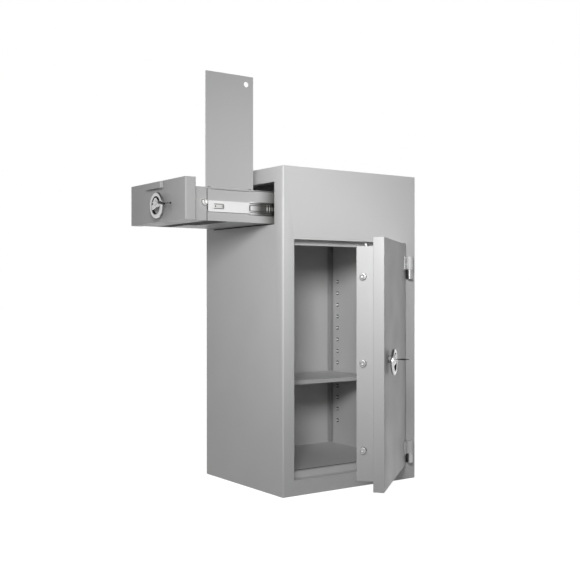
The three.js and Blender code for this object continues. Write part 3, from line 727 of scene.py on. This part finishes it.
@dataclass
class VaultInterior:
    """Liner with its columns of pressed shelf slots, and the shelf on its clips."""

    edge: float = 0.5
    wall: float = 259.0
    back: float = 462.0
    floor: float = 74.0
    ceiling: float = 870.0
    rows: int = 13
    shelf_row: int = 4
    first: float = 166.0
    pitch: float = 46.2
    columns: Span = (230.0, 413.0)
    slot_wide: float = 14.0
    slot_high: float = 14.0
    slot_inset: float = 1.3
    slot_half: float = 0.15
    bridge_sheet: float = 1.6
    bridge_high: float = 6.6
    bridge_rise: float = 7.2
    flange: float = 15.0
    flange_wall: float = 257.2
    flange_reach: float = 21.0
    flange_half: float = 0.5
    bend: float = 5.0
    lift: float = 0.8
    fade: float = 3.0
    stub: float = 3.0
    gap: float = 0.6

    def build(self) -> None:
        """Builds and dresses the vault."""
        repaint(Finishes.VAULT, "vault_liner")
        refinish("shelf", self.edge, Finishes.VAULT, "cabinet")
        repaint(Finishes.ZINC, *(f"shelf_clip_{i}" for i in range(1, 5)))
        # The pressed bridges take the lighter cabinet powder, not the vault's, as a painted
        # highlight.
        dress(self.every(self.bridge, "shelf_slot_bridges"), Finishes.CASING, "cabinet")
        dress(self.every(self.slot, "shelf_slot_openings"), Finishes.GAP_SHADE, "cabinet")
        # The back sheet's flanges take the darker powder as painted shade.
        dress(self.flanges(), Finishes.SHADE, "cabinet")

    def bridge(self, side: float, y: float, z: float) -> Array:
        """Bridge pressed out of a slot, which a shelf clip could hang from.

        p(v, s) = (wall - d cos^2(pi v / 2) + a(s), y + v w / 2, z + b(s)), with (a, b) squarish.

        Args:
            side: -1 for the left wall, 1 for the right one.
            y: middle of the slot.
            z: middle of the slot.

        Returns:
            Array (9, 10, 3).
        """
        v = np.linspace(-1.0, 1.0, 9)[:, None]
        section = superellipse(self.bridge_sheet / 2, self.bridge_high / 2, 4.0, 10)
        wall = MIDDLE + side * self.wall
        x = wall - side * self.bridge_rise * np.cos(np.pi * v / 2) ** 2 + section[None, :, 0]
        return np.stack([x, y + v * self.slot_wide / 2 + 0.0 * x,
                         z + section[None, :, 1] + 0.0 * x], axis=-1)

    def slot(self, side: float, y: float, z: float) -> Array:
        """Dark opening behind a bridge, black as painted shade: a squarish outline (y, z) carried
        through a thin depth.

        Args:
            side: -1 for the left wall, 1 for the right one.
            y: middle of the slot.
            z: middle of the slot.

        Returns:
            Array (2, 20, 3).
        """
        outline = superellipse(self.slot_wide / 2, self.slot_high / 2, 5.0, 20) + [y, z]
        wall = MIDDLE + side * (self.wall - self.slot_inset)
        return carried(outline, wall - self.slot_half, wall + self.slot_half)[..., [2, 0, 1]]

    def every(self, shape: Callable[[float, float, float], Array], name: str) -> Piece:
        """A shape at all places but those of the row that holds the shelf clips.

        Args:
            shape: makes the grid from the side and the middle in Y and Z.
            name: name of the object.

        Returns:
            The object.
        """
        shell = Shell()
        for row, side, y in product(range(self.rows), (-1.0, 1.0), self.columns):
            if row != self.shelf_row:
                shell.solid(Group.CABINET.place(shape(side, y, self.first + row * self.pitch)))
        return shell.mesh(name)

    def flanges(self) -> Piece:
        """Flanges of the back sheet on the side walls: a bent ribbon (x, y) carried up the corner.

        The free edge stands off the wall by lift exp(-s / fade), the bend is a quarter circle.

        Returns:
            The object.
        """
        wall, along = self.flange_wall, np.linspace(0.0, self.flange, 14)
        reach = (self.flange_reach - self.bend - 1.0) / self.flange
        straight = np.stack([wall - self.lift * np.exp(-along / self.fade),
                             self.back - self.flange_reach + along * reach], axis=1)
        angle = np.linspace(0.0, np.pi / 2, 9)[1:]
        bend = np.stack([wall - self.bend * (1.0 - np.cos(angle)),
                         self.back - 1.0 - self.bend * (1.0 - np.sin(angle))], axis=1)
        tail = bend[-1:] - np.array([[self.stub, 0.0]])
        outline = ribbon(np.vstack([straight, bend, tail]), self.flange_half)
        shell = Shell()
        for side in (1.0, -1.0):
            grid = carried(outline * [side, 1.0] + [MIDDLE, 0.0], self.floor + self.gap,
                           self.ceiling - self.gap)
            shell.solid(Group.CABINET.place(grid))
        return shell.mesh("back_sheet_flanges")


@dataclass
class DoorLeaf:
    """Leaf: skin, filling, back plate and the boltwork case behind them."""

    edge: float = 1.2
    case_edge: float = 0.9

    def build(self) -> None:
        """Builds and dresses the leaf."""
        refinish("door_skin", self.edge, Finishes.FRONT, "door", 3)
        refinish("boltwork_case", self.case_edge, Finishes.FRONT, "door")
        repaint(Finishes.CASING, "door_back_plate")
        repaint(Finishes.BARRIER, "door_fill")
        repaint(Finishes.ZINC, "door_lock_case")


@dataclass
class Hinges:
    """Two outside hinges: a strap and barrel on the leaf over a steel knuckle on the frame."""

    edge: float = 1.4

    def build(self) -> None:
        """Builds and dresses the hinges."""
        for level in ("upper", "lower"):
            refinish(f"hinge_block_{level}", self.edge, Finishes.CASING, "door", 3)
            refinish(f"hinge_knuckle_{level}", self.edge, Finishes.BOLT, "cabinet", 3)
        repaint(Finishes.CHROME, "hinge_pin_upper", "hinge_pin_lower")


@dataclass
class Boltwork:
    """Round bolts of the door and their bar."""

    radius: float = 11.0
    top_radius: float = 8.5
    start: float = 69.0
    end: float = 104.7
    centre_y: float = 72.5
    heights: Triple = (180.0, 455.0, 730.0)
    top_x: float = 136.0
    top_start: float = 838.0
    top_end: float = 766.0
    chamfer: float = 1.6
    dish: float = 0.68
    depth: float = 3.2

    def bolt(self, radius: float, length: float) -> Array:
        """Bolt along -Z, nose at 0: a revolved outline with a turned chamfer and a dished tip."""
        c, r, d = self.chamfer, self.dish * radius, self.depth
        return revolve([(0.0, -d), (0.35 * r, -0.94 * d), (0.7 * r, -0.68 * d),
                        (0.92 * r, -0.2 * d), (r, 0.0), (radius - c, 0.0),
                        (radius - 0.3 * c, -0.35 * c), (radius, -c),
                        (radius, -length + 0.5), (radius - 0.5, -length), (0.0, -length)])

    def build(self) -> None:
        """Builds and dresses the bolts."""
        side = self.bolt(self.radius, self.end - self.start) @ turn(1, -90.0).T
        for name, height in zip(("lower", "middle", "upper"), self.heights):
            points = side + [self.start, self.centre_y, height]
            dress(Shell().grid(Group.DOOR.place(points)).mesh(f"door_bolt_{name}_turned"),
                  Finishes.BOLT, "door_bolts", f"door_bolt_{name}")
        points = self.bolt(self.top_radius, self.top_start - self.top_end)
        points = points + [self.top_x, self.centre_y, self.top_start]
        dress(Shell().grid(Group.DOOR.place(points)).mesh("door_top_bolt_turned"),
              Finishes.BOLT, "door_top_bolt", "door_top_bolt")
        repaint(Finishes.ZINC, "bolt_bar")


@dataclass
class RingHandle:
    """Ring handle with hub and cross bar, its spindle and its lock plug."""

    seat: LockSeat
    stem: str
    degrees: float
    down: Span
    outer: float = 42.5
    inner: float = 29.0
    back: float = 12.0
    thick: float = 10.5
    drop: float = 8.5
    hub_radius: float = 17.0
    hub_back: float = 1.2
    hub_front: float = 23.0
    bar: float = 20.0
    bar_inset: float = 2.4
    bore: float = 8.6
    neck: float = 11.0
    steps: int = 96
    plug_edge: float = 0.4

    def hung(self, points: Array) -> Array:
        """Points of the ring, turned by degrees and hung below the lock's axis."""
        return self.seat.place(points @ turn(2, self.degrees).T
                               + self.drop * np.array([*self.down, 0.0]))

    def ring(self) -> Array:
        """Ring: p(t, s) = ((R + a) cos t, (R + a) sin t, z + b), (a, b)(s) a squarish section.

        Returns:
            Array (steps, 28, 3), closed in both directions.
        """
        section = superellipse((self.outer - self.inner) / 2, self.thick / 2, 3.2)
        angle = circle(self.steps)[:, None]
        radius = (self.outer + self.inner) / 2 + section[None, :, 0]
        height = self.back + self.thick / 2 + section[None, :, 1] + 0.0 * angle
        return np.stack([radius * np.cos(angle), radius * np.sin(angle), height], axis=-1)

    def spoke(self) -> Array:
        """Bar: a squarish section (a, b) carried along Y, wider where it meets the ring.

        Returns:
            Array (25, 28, 3), closed in its second direction.
        """
        reach = (self.outer + self.inner) / 2
        along = np.linspace(-reach, reach, 25)[:, None]
        a, b = superellipse(0.5, (self.thick - self.bar_inset) / 2, 4.0).T[:, None, :]
        wide = self.bar * (0.9 + 0.2 * (along / reach) ** 2)
        return np.stack([wide * a, along + 0.0 * a, self.back + self.thick / 2 + b + 0.0 * along],
                        axis=-1)

    def hub(self) -> Array:
        """Hub: a revolved outline with rounded rims and the bore for the plug."""
        r, b, f = self.hub_radius, self.back - 0.4, self.hub_front
        return revolve([(self.bore, b), (r - 1.0, b), (r, b + 1.0), (r, f - 2.4),
                        (r - 0.4, f - 1.2), (r - 1.2, f - 0.4), (r - 2.4, f),
                        (self.bore + 0.8, f), (self.bore, f - 0.8)])

    def collar(self) -> Array:
        """Collar behind the hub: a revolved outline."""
        top = self.back - 0.6
        return revolve([(self.bore, self.hub_back), (self.neck, self.hub_back),
                        (self.neck, top), (self.bore, top)])

    def bore_shade(self) -> Array:
        """Bore of the ring, dark as painted shade: a skin 0.3 mm inside it.

        Returns:
            Array (4, steps, 3), closed in both directions.
        """
        low, high = self.back + 1.1, self.back + self.thick - 1.1
        face, root = self.inner - 0.3, self.inner + 0.2
        return revolve([(face, low), (root, low - 0.3), (root, high + 0.3), (face, high)],
                       self.steps)

    def build(self) -> None:
        """Builds and dresses the handle and what belongs to it."""
        handle = f"{self.stem}_handle"
        shell = Shell().grid(self.hung(self.ring()), close_u=True)
        shell.solid(self.hung(self.spoke())).grid(self.seat.place(self.hub()), close_u=True)
        dress(shell.mesh(f"{self.stem}_ring_handle_turned"), Finishes.CHROME, handle,
              f"{self.stem}_ring_handle")
        refinish(f"{self.stem}_lock_plug", self.plug_edge, Finishes.CHROME, f"{self.stem}_lock")
        # The bore is dark and the collar in the darker powder, both as painted shade.
        for name, grid, finish in (("bore_shade", self.hung(self.bore_shade()), Finishes.CAGE),
                                   ("collar", self.seat.place(self.collar()), Finishes.SHADE)):
            dress(Shell().grid(grid, close_u=True).mesh(f"{handle}_{name}"), finish, handle)
        # The spindle takes the dark steel as painted shade behind the ring.
        repaint(Finishes.CAGE, f"{handle}_spindle")


@dataclass
class StraightKey:
    """Key that stands straight out of the door's lock, its bow lying flat.

    Each stop is a height with half the key's width and thickness there: the blade is thin, the bow
    swells to 17 mm across and tapers to its ring.
    """

    seat: LockSeat = LockSeat.DOOR
    stops: Stops = (
        (9.0, 3.3, 1.0), (22.0, 3.3, 1.0), (26.0, 3.3, 1.1), (30.0, 3.4, 1.2), (36.0, 4.6, 1.5),
        (41.0, 7.2, 2.1), (44.0, 8.4, 2.4), (49.0, 8.8, 2.4), (54.0, 8.0, 2.0), (58.0, 6.4, 1.5),
        (62.0, 4.6, 1.2), (64.8, 3.4, 1.0), (65.8, 2.0, 0.7))

    def build(self) -> None:
        """Builds the key: p(k, s) = (w_k a(s), t_k b(s), z_k), (a, b) a squarish section."""
        z, wide, thick = (np.array(column)[:, None] for column in zip(*self.stops))
        a, b = superellipse(1.0, 1.0, 3.4).T[:, None, :]
        grid = np.stack([wide * a, thick * b, z + 0.0 * a], axis=-1)
        dress(Shell().solid(self.seat.place(grid)).mesh("door_key_cut"), Finishes.KEY, "door_key",
              "door_key")


@dataclass
class FoldedKey:
    """Long key whose shank lies to the side of the drawer's lock, hanging a little.

    Each stop is a distance to the side, a shift across it, and half the width and thickness there.
    """

    seat: LockSeat = LockSeat.DRAWER
    droop: float = -5.0
    middle: float = 31.1
    blade: Span = (9.5, 30.4)
    reach: float = 120.0
    shank: Stops = (
        (-2.6, 0.0, 1.6, 1.0), (-1.6, 0.0, 2.6, 1.3), (6.0, 0.0, 2.4, 1.3), (20.0, 0.0, 1.8, 1.2),
        (34.5, 0.0, 1.5, 1.1))
    grip: Stops = (
        (34.8, 1.5, 2.0, 1.6), (37.0, 1.4, 4.4, 2.4), (52.0, 0.6, 4.6, 2.6),
        (66.0, -2.0, 3.6, 2.4), (80.0, -4.2, 2.6, 2.0), (84.0, -4.6, 1.0, 1.0))
    tail: Stops = (
        (60.0, -0.4, 1.2, 1.1), (84.0, -0.2, 1.3, 1.2), (117.0, 0.0, 1.2, 1.1))
    knob: tuple[Span, ...] = ((0.0, -1.9), (2.9, -1.9), (3.6, -1.2), (3.6, 1.2), (2.9, 1.9),
                              (0.0, 1.9))

    def along(self, stops: Stops) -> Array:
        """Squarish section carried to the side: p(k, s) = (c_k + w_k a(s), -r_k, m + t_k b(s)).

        Args:
            stops: for each step its distance r, shift c, half width w and half thickness t.

        Returns:
            Array (stops, 28, 3), in metres.
        """
        r, c, w, t = (np.array(column)[:, None] for column in zip(*stops))
        a, b = superellipse(1.0, 1.0, 3.4).T[:, None, :]
        return self.put(np.stack([c + w * a, -r + 0.0 * a, self.middle + t * b], axis=-1))

    def put(self, points: Array) -> Array:
        """Local points on the drawer at rest, with the droop about the lock's axis."""
        return self.seat.place(points @ turn(2, self.droop).T)

    def build(self) -> None:
        """Builds the key: bright shank over the ring, a grip beside it dark as painted shade, and a
        round end.
        """
        blade = carried(superellipse(1.05, 3.4, 4.0), *self.blade)
        shell = Shell().solid(self.along(self.shank)).solid(self.put(blade))
        dress(shell.mesh("drawer_key_shank"), Finishes.CHROME, "drawer_key", "drawer_key")
        knob = revolve(self.knob, 28) + [0.0, -self.reach, self.middle]
        grip = Shell().solid(self.along(self.grip)).solid(self.along(self.tail))
        dress(grip.grid(self.put(knob)).mesh("drawer_key_grip"), Finishes.KEY, "drawer_key")


@dataclass
class DepositDrawer:
    """Drawer: front with its finger ledge, lock box with two bolts, tray and lid."""

    front_edge: float = 1.2
    sheet_edge: float = 0.6
    bolt_radius: float = 10.0
    bolt_x: float = 75.5
    bolt_z: float = 969.0
    bolt_tip: float = 60.0
    bolt_far: float = 441.0
    bolt_length: float = 130.0

    def build(self) -> None:
        """Builds and dresses the drawer."""
        refinish("drawer_front", self.front_edge, Finishes.FRONT, "drawer", 3)
        refinish("drawer_pull", self.front_edge, Finishes.FRONT, "drawer")
        refinish("drawer_lock_box", self.sheet_edge, Finishes.FRONT, "drawer")
        for name in ("drawer_tray", "tray_cover"):
            refinish(name, self.sheet_edge, Finishes.TRAY, "drawer")
        refinish("lid", self.sheet_edge, Finishes.FRONT, "lid", 3)
        repaint(Finishes.BARRIER, "drawer_front_fill")
        repaint(Finishes.CHROME, "lid_pin")
        repaint(Finishes.ZINC, "drawer_lock_case")
        self.bolts()

    def bolts(self) -> None:
        """Builds the near and the far bolt."""
        shape = Boltwork().bolt(self.bolt_radius, self.bolt_length)
        for name, degrees, tip in (("near", 90.0, self.bolt_tip), ("far", -90.0, self.bolt_far)):
            points = shape @ turn(0, degrees).T + [self.bolt_x, tip, self.bolt_z]
            shell = Shell().grid(Group.DRAWER.place(points))
            dress(shell.mesh(f"drawer_bolt_{name}_turned"), Finishes.ZINC, f"drawer_bolt_{name}",
                  f"drawer_bolt_{name}")


@dataclass
class TelescopicSlides:
    """Telescopic slides on both sides of the drawer, with the release levers, cages and balls.

    Pieces are drawn for the near side, in millimetres with the drawer at rest, and mirrored across
    the drawer's middle for the far side.
    """

    edge: float = 0.35
    centre_z: float = 957.5
    middle_y: float = 250.5
    rail_face: float = 64.0
    lever: Span = (-224.0, -190.5)
    lever_half: float = 5.6
    ribs: Span = (-195.9, -192.5)
    rib_wide: float = 1.1
    rib_half: float = 3.6
    spring_half: float = 7.2
    spring_round: float = 3.0
    spring_ends: Span = (-225.0, -188.9)
    rivet_x: float = -220.5
    rivet_head: tuple[Span, ...] = ((0.0, 1.1), (1.5, 1.0), (2.3, 0.6), (2.6, 0.0), (2.6, -0.3),
                                    (0.0, -0.3))
    cage_y: float = 62.3
    stop_x: Span = (-90.4, -88.2)
    stop_half: float = 9.0
    rail_x: Span = (-90.0, 124.0)
    rails: tuple[float, ...] = (-14.8, -9.2, 9.2, 14.8)
    rail_half: float = 1.1
    rung_x: Span = (-23.0, 121.0)
    rung_halves: Span = (5.2, 12.0)
    pitch: float = 10.0
    ball: float = 0.8
    race: float = 18.82
    race_x: Span = (-85.0, 149.0)
    race_y: float = 66.0

    def put(self, points: Array, side: str) -> Array:
        """Points (x, y, z) of the near side in metres; for the far side y' = 2 m - y.

        Args:
            points: array of points in millimetres, at rest.
            side: near or far.

        Returns:
            Array of points in metres in the frame's axes.
        """
        flip = np.array([1.0, -1.0, 1.0]) if side == "far" else np.ones(3)
        shift = np.array([0.0, 2.0 * self.middle_y if side == "far" else 0.0, 0.0])
        return Group.CABINET.place(points * flip + shift)

    def strip(self, side: str, x: Span, y: float, high: float, half: float,
              rise: float = 0.0) -> Array:
        """Level bar in metres, with half of its height and thickness, its middle at y and rise."""
        z = self.centre_z + rise
        return self.put(bar(x, y, (z - high, z + high), half), side)

    def release(self, side: str) -> None:
        """Release lever on the rail: a plate with two ribs, its rivet and the flat spring round it,
        whose dark outlines the lever's cut as painted shadow.

        The spring is a ribbon along a U whose end follows z = h |sin t|^0.4 sgn sin t.

        Args:
            side: near or far.
        """
        z, face = self.centre_z, self.rail_face
        plate = Shell().solid(self.strip(side, self.lever, face + 0.1, self.lever_half, 0.5))
        dress(plate.mesh(f"slide_lever_{side}"), Finishes.ZINC, "drawer")
        head = revolve(self.rivet_head, 24) @ turn(0, 90.0).T + [self.rivet_x, face - 0.3, z]
        rivet = Shell().grid(self.put(head, side))
        for x in self.ribs:
            rivet.solid(self.strip(side, (x, x + self.rib_wide), face - 0.6, self.rib_half, 0.4))
        dress(rivet.mesh(f"slide_lever_rivet_{side}"), Finishes.CAGE, "drawer")
        (front, back), high, bow = self.spring_ends, self.spring_half, self.spring_round
        bend = np.linspace(0.5 * np.pi, -0.5 * np.pi, 13)
        sine = np.sin(bend)
        round_end = np.stack([back - bow + bow * np.cos(bend),
                              high * np.sign(sine) * np.abs(sine) ** 0.4], axis=1)
        path = np.vstack([[front, high], round_end, [front, -high]])
        flat = carried(ribbon(path, 1.0) + [0.0, z], face - 0.5, face - 0.02)
        spring = Shell().solid(self.put(flat[..., [0, 2, 1]], side))
        dress(spring.mesh(f"slide_lever_spring_{side}"), Finishes.CAGE, "drawer")

    def bearing(self, side: str) -> None:
        """Stop at the mouth of the middle member, and the ladder-shaped cage behind it, dark partly
        as painted shade in the gaps at the lips.

        Args:
            side: near or far.
        """
        y = self.cage_y
        shell = Shell().solid(self.strip(side, self.stop_x, y, self.stop_half, 1.0))
        for rise in self.rails:
            shell.solid(self.strip(side, self.rail_x, y, self.rail_half, 0.4, rise))
        dress(shell.mesh(f"slide_cage_{side}"), Finishes.CAGE, "slide_carriage")
        rungs, (low, high) = Shell(), self.rung_halves
        for x in np.arange(*self.rung_x, self.pitch):
            rungs.solid(self.strip(side, (x, x + 3.2), y - 0.2, low, 0.5))
            rungs.solid(self.strip(side, (x + 0.9, x + 2.3), y, high, 0.3))
        dress(rungs.mesh(f"slide_cage_rungs_{side}"), Finishes.ZINC, "slide_carriage")

    def balls(self, side: str) -> None:
        """Steel balls between the rail's edges and the middle member, each a revolved arc.

        Args:
            side: near or far.
        """
        polar = np.linspace(0.0, np.pi, 5)
        arc = np.stack([self.ball * np.sin(polar), self.ball * np.cos(polar)], axis=1)
        one, shell = revolve(arc.tolist(), 8), Shell()
        for x, rise in product(np.arange(*self.race_x, self.pitch), (-self.race, self.race)):
            shell.grid(self.put(one + [x, self.race_y, self.centre_z + rise], side))
        dress(shell.mesh(f"slide_balls_{side}"), Finishes.CHROME, "slide_carriage")

    def build(self) -> None:
        """Builds and dresses the slides."""
        for side in ("near", "far"):
            refinish(f"slide_drawer_{side}", self.edge, Finishes.SLIDE, "drawer")
            refinish(f"slide_middle_{side}", self.edge, Finishes.SLIDE, "slide_carriage")
            repaint(Finishes.ZINC, f"slide_outer_{side}", f"slide_bracket_{side}")
            self.release(side)
            self.bearing(side)
            self.balls(side)


@dataclass
class Seals:
    """Black strips as painted shade that stand for narrow gaps: at the slot, the tray, the lock box
    and the vault.

    Sizes are in millimetres in the cabinet's corner coordinates, with the drawer at rest.
    """

    slot_gap_x: Span = (1.0, 2.2)
    slot_gap_y: Span = (52.0, 449.0)
    slot_gap_z: Span = (907.1, 909.9)
    box_x: tuple[Span, ...] = ((-249.2, -246.8), (-296.2, -294.8))
    box_y: Span = (69.85, 431.15)
    box_z: Span = (911.5, 1017.5)
    box_half: float = 0.15
    under_tray_x: Span = (-214.0, -162.0)
    under_tray_y: Span = (76.0, 290.0)
    under_tray_z: Span = (910.08, 910.48)
    sill_x: Span = (37.5, 552.5)
    sill_y: Span = (51.0, 61.6)
    sill_z: Span = (72.2, 73.0)
    gaps: tuple[Span, ...] = ((541.5, 0.5), (550.5, 1.2))
    gap_y: float = 461.7
    gap_z: Span = (75.0, 869.0)
    gap_half: float = 0.12

    def lay(self, name: str, body: str, *grids: Array) -> None:
        """Makes one piece of capped grids, black as painted shade.

        Args:
            name: name of the piece.
            body: name of the body that it rides on.
            grids: arrays of points in millimetres.
        """
        shell = Shell()
        for grid in grids:
            shell.solid(Group.CABINET.place(grid))
        dress(shell.mesh(name), Finishes.GAP_SHADE, body)

    def build(self) -> None:
        """Builds and dresses the strips, each a squarish section carried along an axis."""
        slot_gap = carried(filling(self.slot_gap_x, self.slot_gap_z, 6.0), *self.slot_gap_y)
        self.lay("slot_gap_shade", "cabinet", slot_gap[..., [0, 2, 1]])
        under_tray = carried(filling(self.under_tray_x, self.under_tray_y, 9.0), *self.under_tray_z)
        self.lay("tray_underside_shade", "drawer", under_tray)
        self.lay("lock_box_seams", "drawer", *(bar(x, y, self.box_z, self.box_half)
                                               for y in self.box_y for x in self.box_x))
        self.lay("vault_corner_gaps", "cabinet",
                 *(bar((x - half, x + half), self.gap_y, self.gap_z, self.gap_half)
                   for right, half in self.gaps for x in (right, 2.0 * MIDDLE - right)))
        sill = carried(filling(self.sill_y, self.sill_z, 8.0), *self.sill_x)
        self.lay("vault_sill_strip", "cabinet", sill[..., [2, 0, 1]])


# Studio.

@dataclass
class Lamp:
    """A soft rectangular lamp, in metres and watts."""

    name: str
    place: Triple
    aim: Triple
    size: Span
    power: float
    spread: float = 180.0

    def build(self) -> None:
        """Adds the lamp, turned to its aim and unseen by the camera itself."""
        data = bpy.data.lights.new(self.name, "AREA")
        data.shape = "RECTANGLE"
        data.size, data.size_y = self.size
        data.energy = self.power
        data.spread = math.radians(self.spread)
        lamp = linked(self.name, data)
        lamp.location = self.place
        aim = Vector(self.aim) - Vector(self.place)
        lamp.rotation_euler = aim.to_track_quat("-Z", "Y").to_euler()
        lamp.visible_camera = False
        log.info("lamp %s", self.name)


@dataclass
class Studio:
    """Camera of the photograph, pale floor, soft lamps and a white surround, in metres."""

    lens: float = 57.892
    sensor: float = 36.0
    stand: Triple = (-2.05087, -2.78194, 0.68725)
    yaw: float = 35.196
    floor_half: float = 30.0
    floor_drop: float = 0.0005
    floor_dull: int = 0x8C8C8C
    floor_glow: float = 0.9
    fill: float = 0.205
    white_to: float = 0.34
    dark_from: float = 0.72
    ceiling: float = 0.06
    lamps: tuple[Lamp, ...] = (
        Lamp("key", (-1.9, -1.6, 1.1), (0.1, -0.2, 0.75), (0.8, 0.8), 6.3),
        Lamp("upper_front", (-1.5, -1.9, 1.35), (0.05, -0.3, 0.9), (0.5, 0.5), 4.55, 60.0),
    )

    def camera(self) -> None:
        """Adds the level camera."""
        data = bpy.data.cameras.new("camera")
        data.lens, data.sensor_width = self.lens, self.sensor
        eye = linked("camera", data)
        eye.location = self.stand
        eye.rotation_euler = (math.pi / 2, 0.0, -math.radians(self.yaw))
        bpy.context.scene.camera = eye

    def seen(self, tree: Tree) -> Socket:
        """1 for what the camera, a mirror or a glass sees, 0 for light on the object.

        Args:
            tree: node tree.

        Returns:
            Output socket of the mask.
        """
        path = node(tree, "LightPath").outputs
        direct = node(tree, "Math", {0: path["Is Camera Ray"], 1: path["Is Glossy Ray"]},
                      operation="MAXIMUM")
        return node(tree, "Math", {0: direct.outputs[0], 1: path["Is Transmission Ray"]},
                    operation="MAXIMUM").outputs[0]

    def floor(self) -> None:
        """Adds the floor: a flat grid p(u, v) = (h u, h v, 0), pale, that keeps the shadow."""
        u = np.linspace(-self.floor_half, self.floor_half, 3)
        level = np.full((3, 3), -self.floor_drop)
        points = np.stack([*np.meshgrid(u, u, indexing="ij"), level], axis=-1)
        plane = add_object("studio_floor", Shell().grid(points, close_v=False).data("studio_floor"))
        made = bpy.data.materials.new("studio_paper")
        tree = emptied(made)
        dull = node(tree, "BsdfDiffuse", {"Color": linear(self.floor_dull)})
        paper = node(tree, "BsdfDiffuse", {"Color": linear(WHITE)})
        glow = node(tree, "Emission", {"Color": linear(WHITE), "Strength": self.floor_glow})
        lit = node(tree, "AddShader", {0: paper.outputs[0], 1: glow.outputs[0]})
        mix = node(tree, "MixShader", {0: self.seen(tree), 1: dull.outputs[0], 2: lit.outputs[0]})
        node(tree, "OutputMaterial", {"Surface": mix.outputs[0]})
        plane.data.materials.append(made)

    def surround(self) -> None:
        """White where it is seen, a dark ceiling overhead, and a plain soft fill as light."""
        world = bpy.data.worlds.new("surround")
        tree = emptied(world)
        up = node(tree, "SeparateXYZ", {"Vector": node(tree, "TexCoord").outputs["Generated"]})
        ceiling = node(tree, "MapRange", {"Value": up.outputs["Z"], "From Min": self.white_to,
                                          "From Max": self.dark_from, "To Min": 1.0,
                                          "To Max": self.ceiling})
        strength = node(tree, "Mix", {0: self.seen(tree), 2: self.fill, 3: ceiling.outputs[0]})
        sky = node(tree, "Background", {"Color": linear(WHITE), "Strength": strength.outputs[0]})
        node(tree, "OutputWorld", {"Surface": sky.outputs[0]})
        bpy.context.scene.world = world

    def build(self) -> None:
        """Sets up the studio."""
        self.camera()
        self.floor()
        self.surround()
        for lamp in self.lamps:
            lamp.build()
        bpy.context.scene.view_settings.view_transform = "Standard"


def main() -> None:
    """Builds the studio and then each sub-assembly."""
    logging.basicConfig(level=logging.INFO, format="%(name)s: %(message)s")
    Studio().build()
    for part in (CabinetShell(), VaultInterior(), DoorLeaf(), Hinges(), Boltwork(),
                 RingHandle(LockSeat.DOOR, "door", 102.0, (0.0, -1.0)),
                 RingHandle(LockSeat.DRAWER, "drawer", 12.0, (-1.0, 0.0)),
                 StraightKey(), FoldedKey(), DepositDrawer(), TelescopicSlides(), Seals()):
        part.build()
        log.info("%s built", type(part).__name__)
    bpy.context.view_layer.update()


if __name__ == "__main__":
    main()
